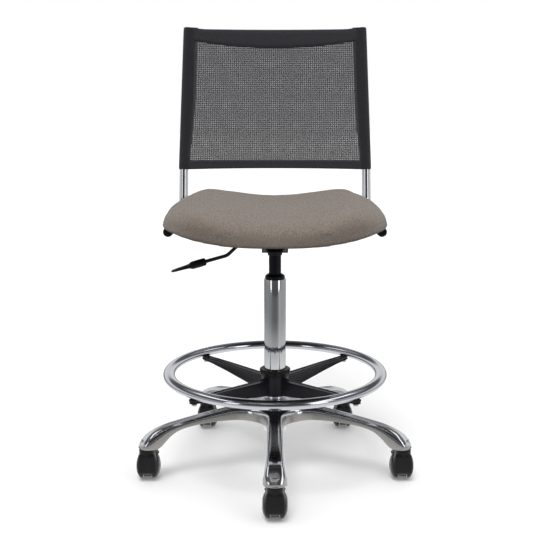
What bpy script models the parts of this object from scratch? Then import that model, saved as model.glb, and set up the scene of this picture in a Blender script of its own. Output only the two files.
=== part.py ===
# Drafting chair: five-legged base on twin-wheel casters, gas column, sliding foot ring,
# upholstered seat on a height mechanism, and a mesh back on a bent tube frame.
# Metres, +Z up. The column's axis is the Z axis, the floor is z = 0, and the sitter faces -Y.
import math

import bmesh
import bpy
from mathutils import Matrix, Vector

GAP = 0.0003  # left between pieces that touch
PLAY = 0.0004  # added to the radius of a hole that something slides or turns in
OVERRUN = 0.010  # how far a cutter runs past the face it cuts

# Casters
CASTER_NAMES = ("front", "right", "rear_right", "rear_left", "left")
CASTER_CIRCLE_R = 0.3055
CASTER_TRAIL = 0.020
WHEEL_R = 0.030
WHEEL_SIDES = 20
WHEEL_BORE_R = 0.0037
AXLE_R = 0.0033
AXLE_HALF = 0.0215
HOOD_INNER_R = 0.032
HOOD_OUTER_R = 0.035
HOOD_HALF_WIDTH = 0.022
HOOD_TUCK = 0.004
HOOD_WEB_HALF = 0.0085
HOOD_WEB_R = 0.012
HOOD_FRONT_DEG = -14.0
HOOD_REAR_DEG = 150.0
NECK_R = 0.0175
NECK_TOP_Z = 0.0805
NECK_BOTTOM_Z = 0.048
STEM_R = 0.0055
STEM_BOTTOM_Z = 0.0568
STEM_TOP_Z = 0.0935
STEM_CHAMFER = 0.0015
WHEEL_FACE_X = 0.0270
WHEEL_INNER_X = 0.0096
WHEEL_BORE_END_X = 0.0222
WHEEL_RIM = (  # radius, distance from the caster's middle
    (0.0190, 0.0254),
    (0.0276, 0.0205),
    (WHEEL_R, 0.0150),
    (WHEEL_R, 0.0110),
    (0.0285, WHEEL_INNER_X),
)

# Base: half width, top and underside of a leg at each distance from the column
LEG_STATIONS = (
    (0.010, 0.0260, 0.1575, 0.1180),
    (0.055, 0.0225, 0.1575, 0.1210),
    (0.095, 0.0190, 0.1560, 0.1265),
    (0.140, 0.0175, 0.1500, 0.1275),
    (0.190, 0.0175, 0.1420, 0.1250),
    (0.235, 0.0185, 0.1335, 0.1170),
    (0.265, 0.0205, 0.1265, 0.1000),
    (0.285, 0.0235, 0.1185, 0.0812),
    (0.3055, 0.0250, 0.1060, 0.0812),
    (0.3155, 0.0205, 0.0945, 0.0812),
    (0.3225, 0.0105, 0.0850, 0.0812),
)
LEG_WALL = 0.0035
POCKET_FIRST_R = 0.050
POCKET_LAST_R = 0.262
BASE_HUB_R = 0.041
BASE_HUB_TOP_Z = 0.159
BASE_HUB_WAIST_Z = 0.122
BASE_HUB_BOTTOM_Z = 0.108
BASE_HUB_CHAMFER = 0.003

# Gas column
COLUMN_R = 0.025
COLUMN_BORE_R = 0.0222
COLUMN_BOTTOM_Z = 0.088
COLUMN_TOP_Z = 0.4525
COLUMN_FLOOR = 0.0025
COLUMN_CHAMFER = 0.001
BUSH_NOSE_R = 0.0170
BUSH_LIP_R = 0.0225
BUSH_LIP = 0.006
BUSH_HEIGHT = 0.012
BUSH_BOTTOM_Z = 0.372
ROD_HOLE_R = 0.0045
BEARING_BORE_R = 0.0046
BEARING_R = 0.0135
BEARING_THICK = 0.0045
CLIP_R = 0.010
CLIP_THICK = 0.002
ROD_R = 0.005
ROD_NECK_R = 0.004
ROD_TOP_Z = 0.424
ROD_BOTTOM_Z = 0.080
PISTON_TOP_Z = 0.418
PISTON_BOTTOM_Z = 0.402
CYLINDER_R = 0.014
CYLINDER_BORE_R = 0.012
CYLINDER_BOTTOM_Z = 0.135
CYLINDER_TOP_Z = 0.535
CYLINDER_TAPER_Z = 0.520
CYLINDER_TAPER = 0.0005
CYLINDER_CAP = 0.0045
GLAND_THICK = 0.015
BUTTON_BOTTOM_Z = 0.526
BUTTON_R = 0.003
BUTTON_TOP_Z = 0.5462

# Foot ring
RING_R = 0.246
RING_HALF_WIDE = 0.0135
RING_HALF_HIGH = 0.0105
RING_Z = 0.2313
RING_HUB_R = 0.033
RING_HUB_BORE_R = 0.0284
RING_HUB_BOTTOM_Z = 0.178
RING_HUB_TOP_Z = 0.2275
COLLAR_R = 0.0357
COLLAR_TOP_Z = 0.2395
COLLAR_CHAMFER = 0.0015
COLLAR_NOTCHES = 6
NOTCH_R = 0.0035
NOTCH_DEPTH = 0.002
COLLET_TOP_Z = 0.2385
COLLET_BOTTOM_Z = 0.184
COLLET_SLIT_HALF = 0.0015
RING_HUB_CHAMFER = 0.002
SPOKE_DEGS = (45, 135, 225, 315)
SPOKE_TOP_Z = RING_Z - RING_HALF_HIGH - GAP
SPOKE_STATIONS = (  # distance from the axis, half width, underside
    (0.029, 0.0100, 0.1800),
    (0.090, 0.0085, 0.1870),
    (0.160, 0.0075, 0.1990),
    (0.236, 0.0080, 0.2095),
    (0.2535, 0.0080, 0.2105),
    (0.2575, 0.0050, 0.2115),
)
SPOKE_SCREW_R = 0.003
SPOKE_SCREW_TOP_Z = RING_Z - 0.003
SPOKE_HEAD_TOP_Z = SPOKE_STATIONS[3][2] - 0.0008
SPOKE_HEAD_BOTTOM_Z = SPOKE_HEAD_TOP_Z - 0.003
SPOKE_HEAD_R = 0.006
SPOKE_HEAD_FLAT_R = 0.0052

# Height mechanism
CHANNEL_HALF_WIDTH = 0.029
CHANNEL_WALL = 0.0025
CHANNEL_FRONT_Y = -0.060
CHANNEL_REAR_Y = 0.120
CHANNEL_BOTTOM_Z = 0.521
CHANNEL_TOP_Z = 0.5709
PLATE_HALF_WIDTH = 0.085
PLATE_FRONT_Y = -0.055
PLATE_REAR_Y = 0.140
PLATE_BOTTOM_Z = CHANNEL_TOP_Z + GAP
PLATE_TOP_Z = 0.5742
SCREW_X = 0.070
SCREW_YS = (-0.030, 0.115)
SCREW_R = 0.003
SCREW_HOLE_R = 0.0036
SCREW_TOP_Z = 0.5885
SCREW_HEAD_R = 0.006
SCREW_HEAD_FLAT_R = 0.0035
SCREW_HEAD_RIM = 0.0025
SCREW_HEAD_HEIGHT = 0.0042
CHANNEL_HOLE_R = 0.0171
SOCKET_BOTTOM_Z = 0.507
SOCKET_R = 0.0166
SOCKET_FLANGE_R = 0.023
SOCKET_FLANGE = 0.004
SOCKET_NECK_R = 0.018
SOCKET_NECK = 0.013

# Lever: a bent rod that pivots in the channel's wall, and its paddle grip
LEVER_PIVOT = Vector((-0.02775, 0.0, 0.550))
LEVER_ROD_R = 0.0035
LEVER_HOLE_R = 0.0044
LEVER_BENDS = (
    Vector((0.004, 0.0, 0.550)),
    Vector((-0.062, 0.0, 0.550)),
    Vector((-0.1095, 0.0, 0.5056)),
    Vector((-0.1700, 0.0, 0.4885)),
)
LEVER_BEND_R = 0.012
GRIP_TIP = Vector((-0.2372, 0.0, 0.4681))
GRIP_START = 0.80  # share of the rod's last straight length
GRIP_SOCKET_END = 0.0005
GRIP_SIDES = 12
GRIP_FILL = 0.92
GRIP_STATIONS = (  # share of the length, half width, half height
    (0.00, 0.0060, 0.0060),
    (0.04, 0.0075, 0.0085),
    (0.38, 0.0090, 0.0085),
    (0.47, 0.0100, 0.0058),
    (0.70, 0.0125, 0.0044),
    (0.90, 0.0125, 0.0032),
    (1.00, 0.0080, 0.0016),
)

# Back frame: a tube under each side of the seat that bends up behind it
TUBE_R = 0.011
RAIL_Z = 0.567
RAIL_FRONT_Y = -0.055
FRAME_CORNERS = (
    Vector((0.2365, RAIL_FRONT_Y, RAIL_Z)),
    Vector((0.2285, 0.2085, RAIL_Z)),
    Vector((0.2275, 0.2340, 0.700)),
    Vector((0.2155, 0.2900, 1.031)),
)
FRAME_BEND_RS = (0.065, 0.40)
CROSSBAR_R = 0.008
LOWER_BAR_Z = 0.700
UPPER_BAR_Z = 1.012
BACK_BOW = 0.026
CROSS_PLATE_Z = (0.5745, 0.5785)
CROSS_PLATE_HALF = 0.015
CROSS_PLATE_INSET = 0.003
PLUG_LENGTH = 0.005
PLUG_SPIGOT_R = 0.0085
PLUG_SPIGOT = 0.014
PLUG_SOCKET = 0.015
PLUG_CHAMFER = 0.0025
PLUG_RIM = 0.002

# Back mesh
MESH_BOTTOM_Z = 0.688
MESH_TOP_Z = 1.0345
MESH_THICK = 0.002

# Seat
SEAT_HALF_WIDTH = 0.2507
SEAT_HALF_DEPTH = 0.225
SEAT_CENTRE_Y = -0.020
SEAT_SQUARENESS = 2.8
SEAT_UNDER_Z = 0.5793
PAN_UNDER_Z = 0.5789
PAN_THICK = 0.011
PAN_SCALE = 0.93
PAN_SCALES = (0.12, 0.45, 0.75, PAN_SCALE)
PAN_ROOM = 0.005
WATERFALL_Y = -0.080
WATERFALL_RUN = 0.160
WATERFALL_DROP = 0.0236
SEAT_TOP_Z = 0.6175
SEAT_REAR_RISE = 0.006
SEAT_SIDE_RISE = 0.017
SEAT_SIDE_X = 0.19
SHOULDER_DROP = 0.0135
SHOULDER_X = 0.160
SHOULDER_RUN = 0.065
UNDER_SCALES = (0.12, 0.50, 0.80, 0.975)
SIDE_STATIONS = ((1.0, 0.28), (1.0, 0.52), (0.975, 0.82))  # share of the outline, share of the height
TOP_SCALES = (0.93, 0.80, 0.55, 0.30, 0.10)

PLACES = {}  # world place of each pivot


def new_collection(name):
    collection = bpy.data.collections.new(name)
    bpy.context.scene.collection.children.link(collection)
    return collection


def new_material(name, color, roughness, metallic):
    made = bpy.data.materials.new(name)
    made.use_nodes = True
    shader = made.node_tree.nodes["Principled BSDF"]
    shader.inputs["Base Color"].default_value = (*color, 1.0)
    shader.inputs["Roughness"].default_value = roughness
    shader.inputs["Metallic"].default_value = metallic
    return made


for leftover in list(bpy.data.objects):
    bpy.data.objects.remove(leftover)

CHAIR = new_collection("drafting_chair")
CUTTERS = new_collection("cutters")

CHROME = new_material("chrome", (0.80, 0.81, 0.82), 0.08, 1.0)
STEEL = new_material("steel", (0.55, 0.56, 0.58), 0.35, 1.0)
BLACK_STEEL = new_material("black_steel", (0.02, 0.02, 0.022), 0.40, 0.0)
BLACK_PLASTIC = new_material("black_plastic", (0.025, 0.025, 0.027), 0.45, 0.0)
TREAD = new_material("tread", (0.03, 0.03, 0.03), 0.60, 0.0)
PLY = new_material("ply", (0.45, 0.32, 0.20), 0.60, 0.0)
SEAT_FABRIC = new_material("seat_fabric", (0.25, 0.21, 0.18), 0.95, 0.0)
BACK_FABRIC = new_material("back_fabric", (0.06, 0.06, 0.065), 0.90, 0.0)


def pivot(name, place, parent=None):
    """An empty on a joint's axis. Its pieces and child pivots keep their world coordinates."""
    empty = bpy.data.objects.new(name, None)
    CHAIR.objects.link(empty)
    empty.location = place
    PLACES[name] = Vector(place)
    if parent:
        attach(empty, parent)
    return empty


def attach(obj, parent):
    obj.parent = parent
    obj.matrix_parent_inverse = Matrix.Translation(-PLACES[parent.name])


def place(obj, material, parent):
    """Makes obj a piece of the chair on this pivot."""
    obj.data.materials.clear()
    obj.data.materials.append(material)
    if obj.name not in CHAIR.objects:
        CHAIR.objects.link(obj)
    attach(obj, parent)
    return obj


def as_cutter(obj):
    """Keeps a helper shape out of the chair."""
    CUTTERS.objects.link(obj)
    obj.hide_render = True
    obj.display_type = "WIRE"
    return obj


def from_bmesh(name, shape, smooth_deg=35.0):
    bmesh.ops.recalc_face_normals(shape, faces=shape.faces)
    mesh = bpy.data.meshes.new(name)
    shape.to_mesh(mesh)
    shape.free()
    mesh.shade_smooth()
    mesh.set_sharp_from_angle(angle=math.radians(smooth_deg))
    return bpy.data.objects.new(name, mesh)


def loft(name, rings):
    """A closed solid through rings of equally many points."""
    shape = bmesh.new()
    rows = [[shape.verts.new(point) for point in ring] for ring in rings]
    for low, high in zip(rows, rows[1:]):
        for i in range(len(low)):
            j = (i + 1) % len(low)
            shape.faces.new((low[i], low[j], high[j], high[i]))
    shape.faces.new(rows[0])
    shape.faces.new(rows[-1])
    return from_bmesh(name, shape)


def box(name, low, high):
    shape = bmesh.new()
    bmesh.ops.create_cube(shape, size=1.0)
    size = Vector(high) - Vector(low)
    bmesh.ops.scale(shape, vec=size, verts=shape.verts)
    bmesh.ops.translate(shape, vec=(Vector(low) + Vector(high)) / 2, verts=shape.verts)
    return from_bmesh(name, shape)


def cylinder(name, radius, start, end, sides=16, twist=0.0):
    start, end = Vector(start), Vector(end)
    shape = bmesh.new()
    bmesh.ops.create_cone(
        shape, cap_ends=True, segments=sides, radius1=radius, radius2=radius, depth=(end - start).length
    )
    turn = (end - start).to_track_quat("Z", "Y").to_matrix().to_4x4()
    turn = turn @ Matrix.Rotation(twist, 4, "Z")
    bmesh.ops.transform(shape, matrix=Matrix.Translation((start + end) / 2) @ turn, verts=shape.verts)
    return from_bmesh(name, shape)


def turned_mesh(name, profile, closed=True):
    """The outline (radius, height) of a turned piece, clockwise from its top, for a Screw."""
    mesh = bpy.data.meshes.new(name)
    count = len(profile)
    edges = [(i, i + 1) for i in range(count - 1)]
    if closed:
        edges.append((count - 1, 0))
    mesh.from_pydata([(radius, 0.0, height) for radius, height in profile], edges, [])
    return mesh


def add_screw(obj, sides):
    screw = obj.modifiers.new("Turn", "SCREW")
    screw.steps = screw.render_steps = sides
    screw.use_merge_vertices = True
    screw.merge_threshold = 0.00001
    screw.use_smooth_shade = True
    return obj


def turned(name, profile, sides=32, closed=True):
    return add_screw(bpy.data.objects.new(name, turned_mesh(name, profile, closed)), sides)


def boolean(target, other, operation="DIFFERENCE"):
    modifier = target.modifiers.new(other.name, "BOOLEAN")
    modifier.operation = operation
    modifier.object = other
    return target


def filleted(corners, radii, steps=6):
    """The points along a path whose inner corners are rounded to these radii."""
    points = [corners[0]]
    for before, corner, after, radius in zip(corners, corners[1:], corners[2:], radii):
        back = (before - corner).normalized()
        ahead = (after - corner).normalized()
        half = back.angle(ahead) / 2
        inward = (back + ahead).normalized()
        centre = corner + inward * (radius / math.sin(half))
        first = corner + back * (radius / math.tan(half)) - centre
        last = corner + ahead * (radius / math.tan(half)) - centre
        for i in range(steps + 1):
            points.append(centre + first.slerp(last, i / steps).normalized() * radius)
    points.append(corners[-1])
    return points


def tube(name, points, radius, resolution=4):
    """A round bar along these points, as a closed mesh."""
    curve = bpy.data.curves.new(name, "CURVE")
    curve.dimensions = "3D"
    curve.bevel_depth = radius
    curve.bevel_resolution = resolution
    curve.use_fill_caps = True
    spline = curve.splines.new("POLY")
    spline.points.add(len(points) - 1)
    for point, at in zip(spline.points, points):
        point.co = (*at, 1.0)
    guide = bpy.data.objects.new(name + "_curve", curve)
    CHAIR.objects.link(guide)
    graph = bpy.context.evaluated_depsgraph_get()
    mesh = bpy.data.meshes.new_from_object(guide.evaluated_get(graph))
    bpy.data.objects.remove(guide)
    shape = bmesh.new()
    shape.from_mesh(mesh)
    bpy.data.meshes.remove(mesh)
    bmesh.ops.remove_doubles(shape, verts=shape.verts, dist=0.00001)
    return from_bmesh(name, shape)


def around(degrees):
    return Matrix.Rotation(math.radians(degrees), 3, "Z")


# ---- base ----


def leg_section(reach, half_width, top, bottom):
    """A leg's outline at this distance: a flat crown, two chamfered shoulders and plain sides."""
    high = top - bottom
    side = (
        (half_width, bottom),
        (half_width, top - 0.55 * high),
        (0.80 * half_width, top - 0.18 * high),
        (0.42 * half_width, top),
    )
    return [Vector((reach, s, z)) for s, z in side] + [Vector((reach, -s, z)) for s, z in side[::-1]]


def leg(name, degrees):
    turn = around(degrees)
    rings = [[turn @ point for point in leg_section(*station)] for station in LEG_STATIONS]
    return as_cutter(loft(name, rings))


def leg_pocket(name, degrees):
    """The hollow under a leg."""
    turn = around(degrees)
    rings = []
    for reach, half_width, top, bottom in LEG_STATIONS:
        if POCKET_FIRST_R < reach < POCKET_LAST_R:
            section = leg_section(reach, half_width - LEG_WALL, top - LEG_WALL, bottom)
            section[0].z = bottom - 2 * OVERRUN
            section[-1].z = bottom - 2 * OVERRUN
            rings.append([turn @ point for point in section])
    return as_cutter(loft(name, rings))


def caster_degrees(index):
    return -90.0 + 72.0 * index


def caster_place(index):
    return around(caster_degrees(index)) @ Vector((CASTER_CIRCLE_R, 0.0, 0.0))


def base_star(parent):
    hub_profile = (
        (0.0, BASE_HUB_TOP_Z),
        (BASE_HUB_R - BASE_HUB_CHAMFER, BASE_HUB_TOP_Z),
        (BASE_HUB_R, BASE_HUB_TOP_Z - BASE_HUB_CHAMFER),
        (BASE_HUB_R, BASE_HUB_WAIST_Z),
        (BASE_HUB_R - BASE_HUB_CHAMFER, BASE_HUB_BOTTOM_Z),
        (0.0, BASE_HUB_BOTTOM_Z),
    )
    star = turned("base_star", hub_profile, 40, closed=False)
    for i, name in enumerate(CASTER_NAMES):
        boolean(star, leg("leg_" + name, caster_degrees(i)), "UNION")
    for i, name in enumerate(CASTER_NAMES):
        boolean(star, leg_pocket("pocket_" + name, caster_degrees(i)))
        socket = caster_place(i)
        low = socket + Vector((0, 0, STEM_BOTTOM_Z))
        high = socket + Vector((0, 0, STEM_TOP_Z + 2 * GAP))
        boolean(star, as_cutter(cylinder("socket_" + name, STEM_R + PLAY, low, high)))
    low = (0, 0, BASE_HUB_BOTTOM_Z - OVERRUN)
    high = (0, 0, BASE_HUB_TOP_Z + OVERRUN)
    bore = cylinder("hub_bore", COLUMN_R + GAP, low, high, 32)
    boolean(star, as_cutter(bore))
    return place(star, CHROME, parent)


# ---- column ----


def column_tube(parent):
    profile = (
        (COLUMN_BORE_R, COLUMN_TOP_Z),
        (COLUMN_R - COLUMN_CHAMFER, COLUMN_TOP_Z),
        (COLUMN_R, COLUMN_TOP_Z - COLUMN_CHAMFER),
        (COLUMN_R, COLUMN_BOTTOM_Z + COLUMN_CHAMFER),
        (COLUMN_R - COLUMN_CHAMFER, COLUMN_BOTTOM_Z),
        (ROD_HOLE_R, COLUMN_BOTTOM_Z),
        (ROD_HOLE_R, COLUMN_BOTTOM_Z + COLUMN_FLOOR),
        (COLUMN_BORE_R, COLUMN_BOTTOM_Z + COLUMN_FLOOR),
    )
    return place(turned("column_tube", profile, 28), CHROME, parent)


def column_bush(parent):
    outer, inner = COLUMN_BORE_R - GAP, CYLINDER_R + PLAY
    lip = COLUMN_TOP_Z + GAP
    profile = (
        (inner, lip + BUSH_HEIGHT),
        (BUSH_NOSE_R, lip + BUSH_HEIGHT),
        (BUSH_LIP_R, lip + BUSH_LIP),
        (BUSH_LIP_R, lip),
        (outer, lip),
        (outer, BUSH_BOTTOM_Z),
        (inner, BUSH_BOTTOM_Z),
    )
    return place(turned("column_bush", profile, 24), BLACK_PLASTIC, parent)


def thrust_bearing(parent):
    low = COLUMN_BOTTOM_Z + COLUMN_FLOOR + GAP
    high = low + BEARING_THICK
    profile = ((BEARING_BORE_R, high), (BEARING_R, high), (BEARING_R, low), (BEARING_BORE_R, low))
    return place(turned("thrust_bearing", profile, 20), STEEL, parent)


def rod_clip(parent):
    high = COLUMN_BOTTOM_Z - GAP
    low = high - CLIP_THICK
    profile = ((BEARING_BORE_R, high), (CLIP_R, high), (CLIP_R, low), (BEARING_BORE_R, low))
    return place(turned("rod_clip", profile, 20), STEEL, parent)


def piston_rod(parent):
    shoulder = COLUMN_BOTTOM_Z + COLUMN_FLOOR + BEARING_THICK + 2 * GAP
    profile = (
        (0, ROD_TOP_Z),
        (ROD_R, ROD_TOP_Z),
        (ROD_R, shoulder),
        (ROD_NECK_R, shoulder),
        (ROD_NECK_R, ROD_BOTTOM_Z),
        (0, ROD_BOTTOM_Z),
    )
    return place(turned("piston_rod", profile, 16, closed=False), STEEL, parent)


def piston(parent):
    outer, inner = CYLINDER_BORE_R - GAP, ROD_R + GAP
    high, low = PISTON_TOP_Z, PISTON_BOTTOM_Z
    profile = ((inner, high), (outer, high), (outer, low), (inner, low))
    return place(turned("piston", profile, 20), BLACK_PLASTIC, parent)


def gas_cylinder(parent):
    pin_hole, gland = BUTTON_R + PLAY, ROD_R + GAP
    profile = (
        (pin_hole, CYLINDER_TOP_Z),
        (CYLINDER_R - CYLINDER_TAPER, CYLINDER_TOP_Z),
        (CYLINDER_R, CYLINDER_TAPER_Z),
        (CYLINDER_R, CYLINDER_BOTTOM_Z),
        (gland, CYLINDER_BOTTOM_Z),
        (gland, CYLINDER_BOTTOM_Z + GLAND_THICK),
        (CYLINDER_BORE_R, CYLINDER_BOTTOM_Z + GLAND_THICK),
        (CYLINDER_BORE_R, CYLINDER_TOP_Z - CYLINDER_CAP),
        (pin_hole, CYLINDER_TOP_Z - CYLINDER_CAP),
    )
    return place(turned("gas_cylinder", profile, 20), BLACK_STEEL, parent)


def release_button(parent):
    pin = cylinder("release_button", BUTTON_R, (0, 0, BUTTON_BOTTOM_Z), (0, 0, BUTTON_TOP_Z), 12)
    return place(pin, STEEL, parent)


# ---- height mechanism ----


def taper_socket(parent):
    bore = CYLINDER_R + PLAY
    flange = CHANNEL_BOTTOM_Z + CHANNEL_WALL + GAP
    profile = (
        (bore, flange + SOCKET_NECK),
        (SOCKET_NECK_R, flange + SOCKET_NECK),
        (SOCKET_NECK_R, flange + SOCKET_FLANGE),
        (SOCKET_FLANGE_R, flange + SOCKET_FLANGE),
        (SOCKET_FLANGE_R, flange),
        (SOCKET_R, flange),
        (SOCKET_R, SOCKET_BOTTOM_Z),
        (bore, SOCKET_BOTTOM_Z),
    )
    return place(turned("taper_socket", profile, 20), BLACK_STEEL, parent)


def mechanism_channel(parent):
    wide, wall = CHANNEL_HALF_WIDTH, CHANNEL_WALL
    low = (-wide, CHANNEL_FRONT_Y, CHANNEL_BOTTOM_Z)
    channel = box("mechanism_channel", low, (wide, CHANNEL_REAR_Y, CHANNEL_TOP_Z))
    low = (wall - wide, CHANNEL_FRONT_Y - OVERRUN, CHANNEL_BOTTOM_Z + wall)
    high = (wide - wall, CHANNEL_REAR_Y + OVERRUN, CHANNEL_TOP_Z + OVERRUN)
    boolean(channel, as_cutter(box("channel_inside", low, high)))
    low = (0, 0, CHANNEL_BOTTOM_Z - OVERRUN)
    high = (0, 0, CHANNEL_BOTTOM_Z + OVERRUN)
    boolean(channel, as_cutter(cylinder("channel_hole", CHANNEL_HOLE_R, low, high, 24)))
    start = LEVER_PIVOT - Vector((OVERRUN, 0, 0))
    end = LEVER_PIVOT + Vector((OVERRUN, 0, 0))
    boolean(channel, as_cutter(cylinder("lever_hole", LEVER_HOLE_R, start, end, 12)))
    return place(channel, BLACK_STEEL, parent)


def screw_places():
    return [(side * SCREW_X, y) for y in SCREW_YS for side in (-1, 1)]


def drill(piece, radius, low, high):
    """Cuts the four screw holes."""
    for i, (x, y) in enumerate(screw_places()):
        hole = cylinder(f"{piece.name}_hole_{i + 1}", radius, (x, y, low), (x, y, high), 12)
        boolean(piece, as_cutter(hole))


def mounting_plate(parent):
    low = (-PLATE_HALF_WIDTH, PLATE_FRONT_Y, PLATE_BOTTOM_Z)
    plate = box("mounting_plate", low, (PLATE_HALF_WIDTH, PLATE_REAR_Y, PLATE_TOP_Z))
    drill(plate, SCREW_HOLE_R, PLATE_BOTTOM_Z - OVERRUN, PLATE_TOP_Z + OVERRUN)
    return place(plate, BLACK_STEEL, parent)


def seat_screws(parent):
    head = PLATE_BOTTOM_Z - GAP
    profile = (
        (0, SCREW_TOP_Z),
        (SCREW_R, SCREW_TOP_Z),
        (SCREW_R, head),
        (SCREW_HEAD_R, head),
        (SCREW_HEAD_R, head - SCREW_HEAD_RIM),
        (SCREW_HEAD_FLAT_R, head - SCREW_HEAD_HEIGHT),
        (0, head - SCREW_HEAD_HEIGHT),
    )
    mesh = turned_mesh("seat_screw", profile, closed=False)
    for i, (x, y) in enumerate(screw_places()):
        screw = add_screw(bpy.data.objects.new(f"seat_screw_{i + 1}", mesh), 12)
        screw.location = (x, y, 0)
        place(screw, STEEL, parent)


# ---- lever ----


def lever_rod(parent):
    points = filleted(LEVER_BENDS, (LEVER_BEND_R, LEVER_BEND_R), 4)
    return place(tube("lever_rod", points, LEVER_ROD_R, 3), BLACK_STEEL, parent)


def lever_grip(parent):
    """A paddle: a deep socket over the rod's end that flattens out to the tip."""
    along = (GRIP_TIP - LEVER_BENDS[2]).normalized()
    up = along.cross(Vector((0, 1, 0))) * -1
    start = LEVER_BENDS[2] + (LEVER_BENDS[3] - LEVER_BENDS[2]) * GRIP_START
    length = (GRIP_TIP - start).length
    rings = []
    for share, wide, high in GRIP_STATIONS:
        centre = start + along * (length * share)
        ring = []
        for i in range(GRIP_SIDES):
            angle = 2 * math.pi * i / GRIP_SIDES
            bulge = GRIP_FILL / max(abs(math.cos(angle)), abs(math.sin(angle))) ** 0.5
            across = Vector((0, 1, 0)) * wide * bulge * math.cos(angle)
            ring.append(centre + across + up * high * bulge * math.sin(angle))
        rings.append(ring)
    grip = loft("lever_grip", rings)
    end = LEVER_BENDS[3] + along * GRIP_SOCKET_END
    boolean(grip, as_cutter(cylinder("grip_socket", LEVER_ROD_R + PLAY, start - along * OVERRUN, end, 12)))
    return place(grip, BLACK_PLASTIC, parent)


# ---- seat ----


def waterfall(y):
    """How far the seat's front has curved down at this depth."""
    return WATERFALL_DROP * (max(0.0, WATERFALL_Y - y) / WATERFALL_RUN) ** 2


def seat_outline(scale, z_of, points=28):
    ring = []
    for i in range(points):
        angle = 2 * math.pi * i / points
        power = 2 / SEAT_SQUARENESS
        x = SEAT_HALF_WIDTH * math.copysign(abs(math.cos(angle)) ** power, math.cos(angle)) * scale
        y = SEAT_HALF_DEPTH * math.copysign(abs(math.sin(angle)) ** power, math.sin(angle)) * scale
        y += SEAT_CENTRE_Y
        ring.append(Vector((x, y, z_of(x, y))))
    return ring


def seat_top(x, y):
    """The dished top: higher towards the sides and the rear, rolling down at the front."""
    rear = SEAT_REAR_RISE * (y - SEAT_CENTRE_Y) / SEAT_HALF_DEPTH
    sides = SEAT_SIDE_RISE * min(1.0, abs(x) / SEAT_SIDE_X) ** 2
    shoulder = SHOULDER_DROP * min(1.0, max(0.0, abs(x) - SHOULDER_X) / SHOULDER_RUN) ** 1.2
    return SEAT_TOP_Z + rear + sides - shoulder - 0.9 * waterfall(y)


def seat_pan(parent):
    def under(x, y):
        return PAN_UNDER_Z - waterfall(y)

    def over(x, y):
        return under(x, y) + PAN_THICK

    rings = [seat_outline(scale, under) for scale in PAN_SCALES]
    rings += [seat_outline(scale, over) for scale in PAN_SCALES[::-1]]
    pan = loft("seat_pan", rings)
    drill(pan, SCREW_HOLE_R, PAN_UNDER_Z - OVERRUN, PAN_UNDER_Z + PAN_THICK + OVERRUN)
    return place(pan, PLY, parent)


def seat_cushion(parent):
    def under(x, y):
        return SEAT_UNDER_Z - waterfall(y)

    def recess(x, y):
        return PAN_UNDER_Z - waterfall(y) + PAN_THICK + GAP

    def below(x, y):
        return under(x, y) - 2 * OVERRUN

    def side(share):
        return lambda x, y: under(x, y) + (seat_top(x, y) - under(x, y)) * share

    rings = [seat_outline(scale, under) for scale in UNDER_SCALES]
    rings += [seat_outline(scale, side(share)) for scale, share in SIDE_STATIONS]
    rings += [seat_outline(scale, seat_top) for scale in TOP_SCALES]
    cushion = loft("seat_cushion", rings)
    room = [*PAN_SCALES[:-1], PAN_SCALE + PAN_ROOM]
    low = [seat_outline(scale, below) for scale in (room[0], room[-1])]
    high = [seat_outline(scale, recess) for scale in room[::-1]]
    boolean(cushion, as_cutter(loft("pan_recess", low + high)))
    return place(cushion, SEAT_FABRIC, parent)


# ---- back ----


def frame_place(z):
    """The upright's centre at this height."""
    low, high = FRAME_CORNERS[2], FRAME_CORNERS[3]
    return low.lerp(high, (z - low.z) / (high.z - low.z))


def bow(share):
    """How far the back is bowed rearward at this share of the half width."""
    return BACK_BOW * (1 - share * share)


def crossbar(name, z):
    end = frame_place(z)
    points = []
    for i in range(11):
        share = -1 + 2 * i / 10
        points.append(Vector((end.x * share, end.y + bow(share), z)))
    return as_cutter(tube(name, points, CROSSBAR_R, 2))


def back_frame(parent):
    right = filleted(FRAME_CORNERS, FRAME_BEND_RS)
    left = [Vector((-p.x, p.y, p.z)) for p in right]
    frame = tube("back_frame", right, TUBE_R, 3)
    boolean(frame, crossbar("upper_bar", UPPER_BAR_Z), "UNION")
    boolean(frame, as_cutter(tube("left_tube", left, TUBE_R, 3)), "UNION")
    boolean(frame, crossbar("lower_bar", LOWER_BAR_Z), "UNION")
    for i, y in enumerate(SCREW_YS):
        reach = FRAME_CORNERS[0].x - CROSS_PLATE_INSET
        low = (-reach, y - CROSS_PLATE_HALF, CROSS_PLATE_Z[0])
        high = (reach, y + CROSS_PLATE_HALF, CROSS_PLATE_Z[1])
        boolean(frame, as_cutter(box(f"cross_plate_{i + 1}", low, high)), "UNION")
    for i, points in enumerate((right, left)):
        along = (points[1] - points[0]).normalized()
        start, end = points[0] - along * OVERRUN, points[0] + along * PLUG_SOCKET
        boolean(frame, as_cutter(cylinder(f"plug_hole_{i + 1}", PLUG_SPIGOT_R + GAP, start, end, 12)))
    drill(frame, SCREW_HOLE_R, CROSS_PLATE_Z[0] - OVERRUN, CROSS_PLATE_Z[1] + OVERRUN)
    return place(frame, CHROME, parent)


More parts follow.
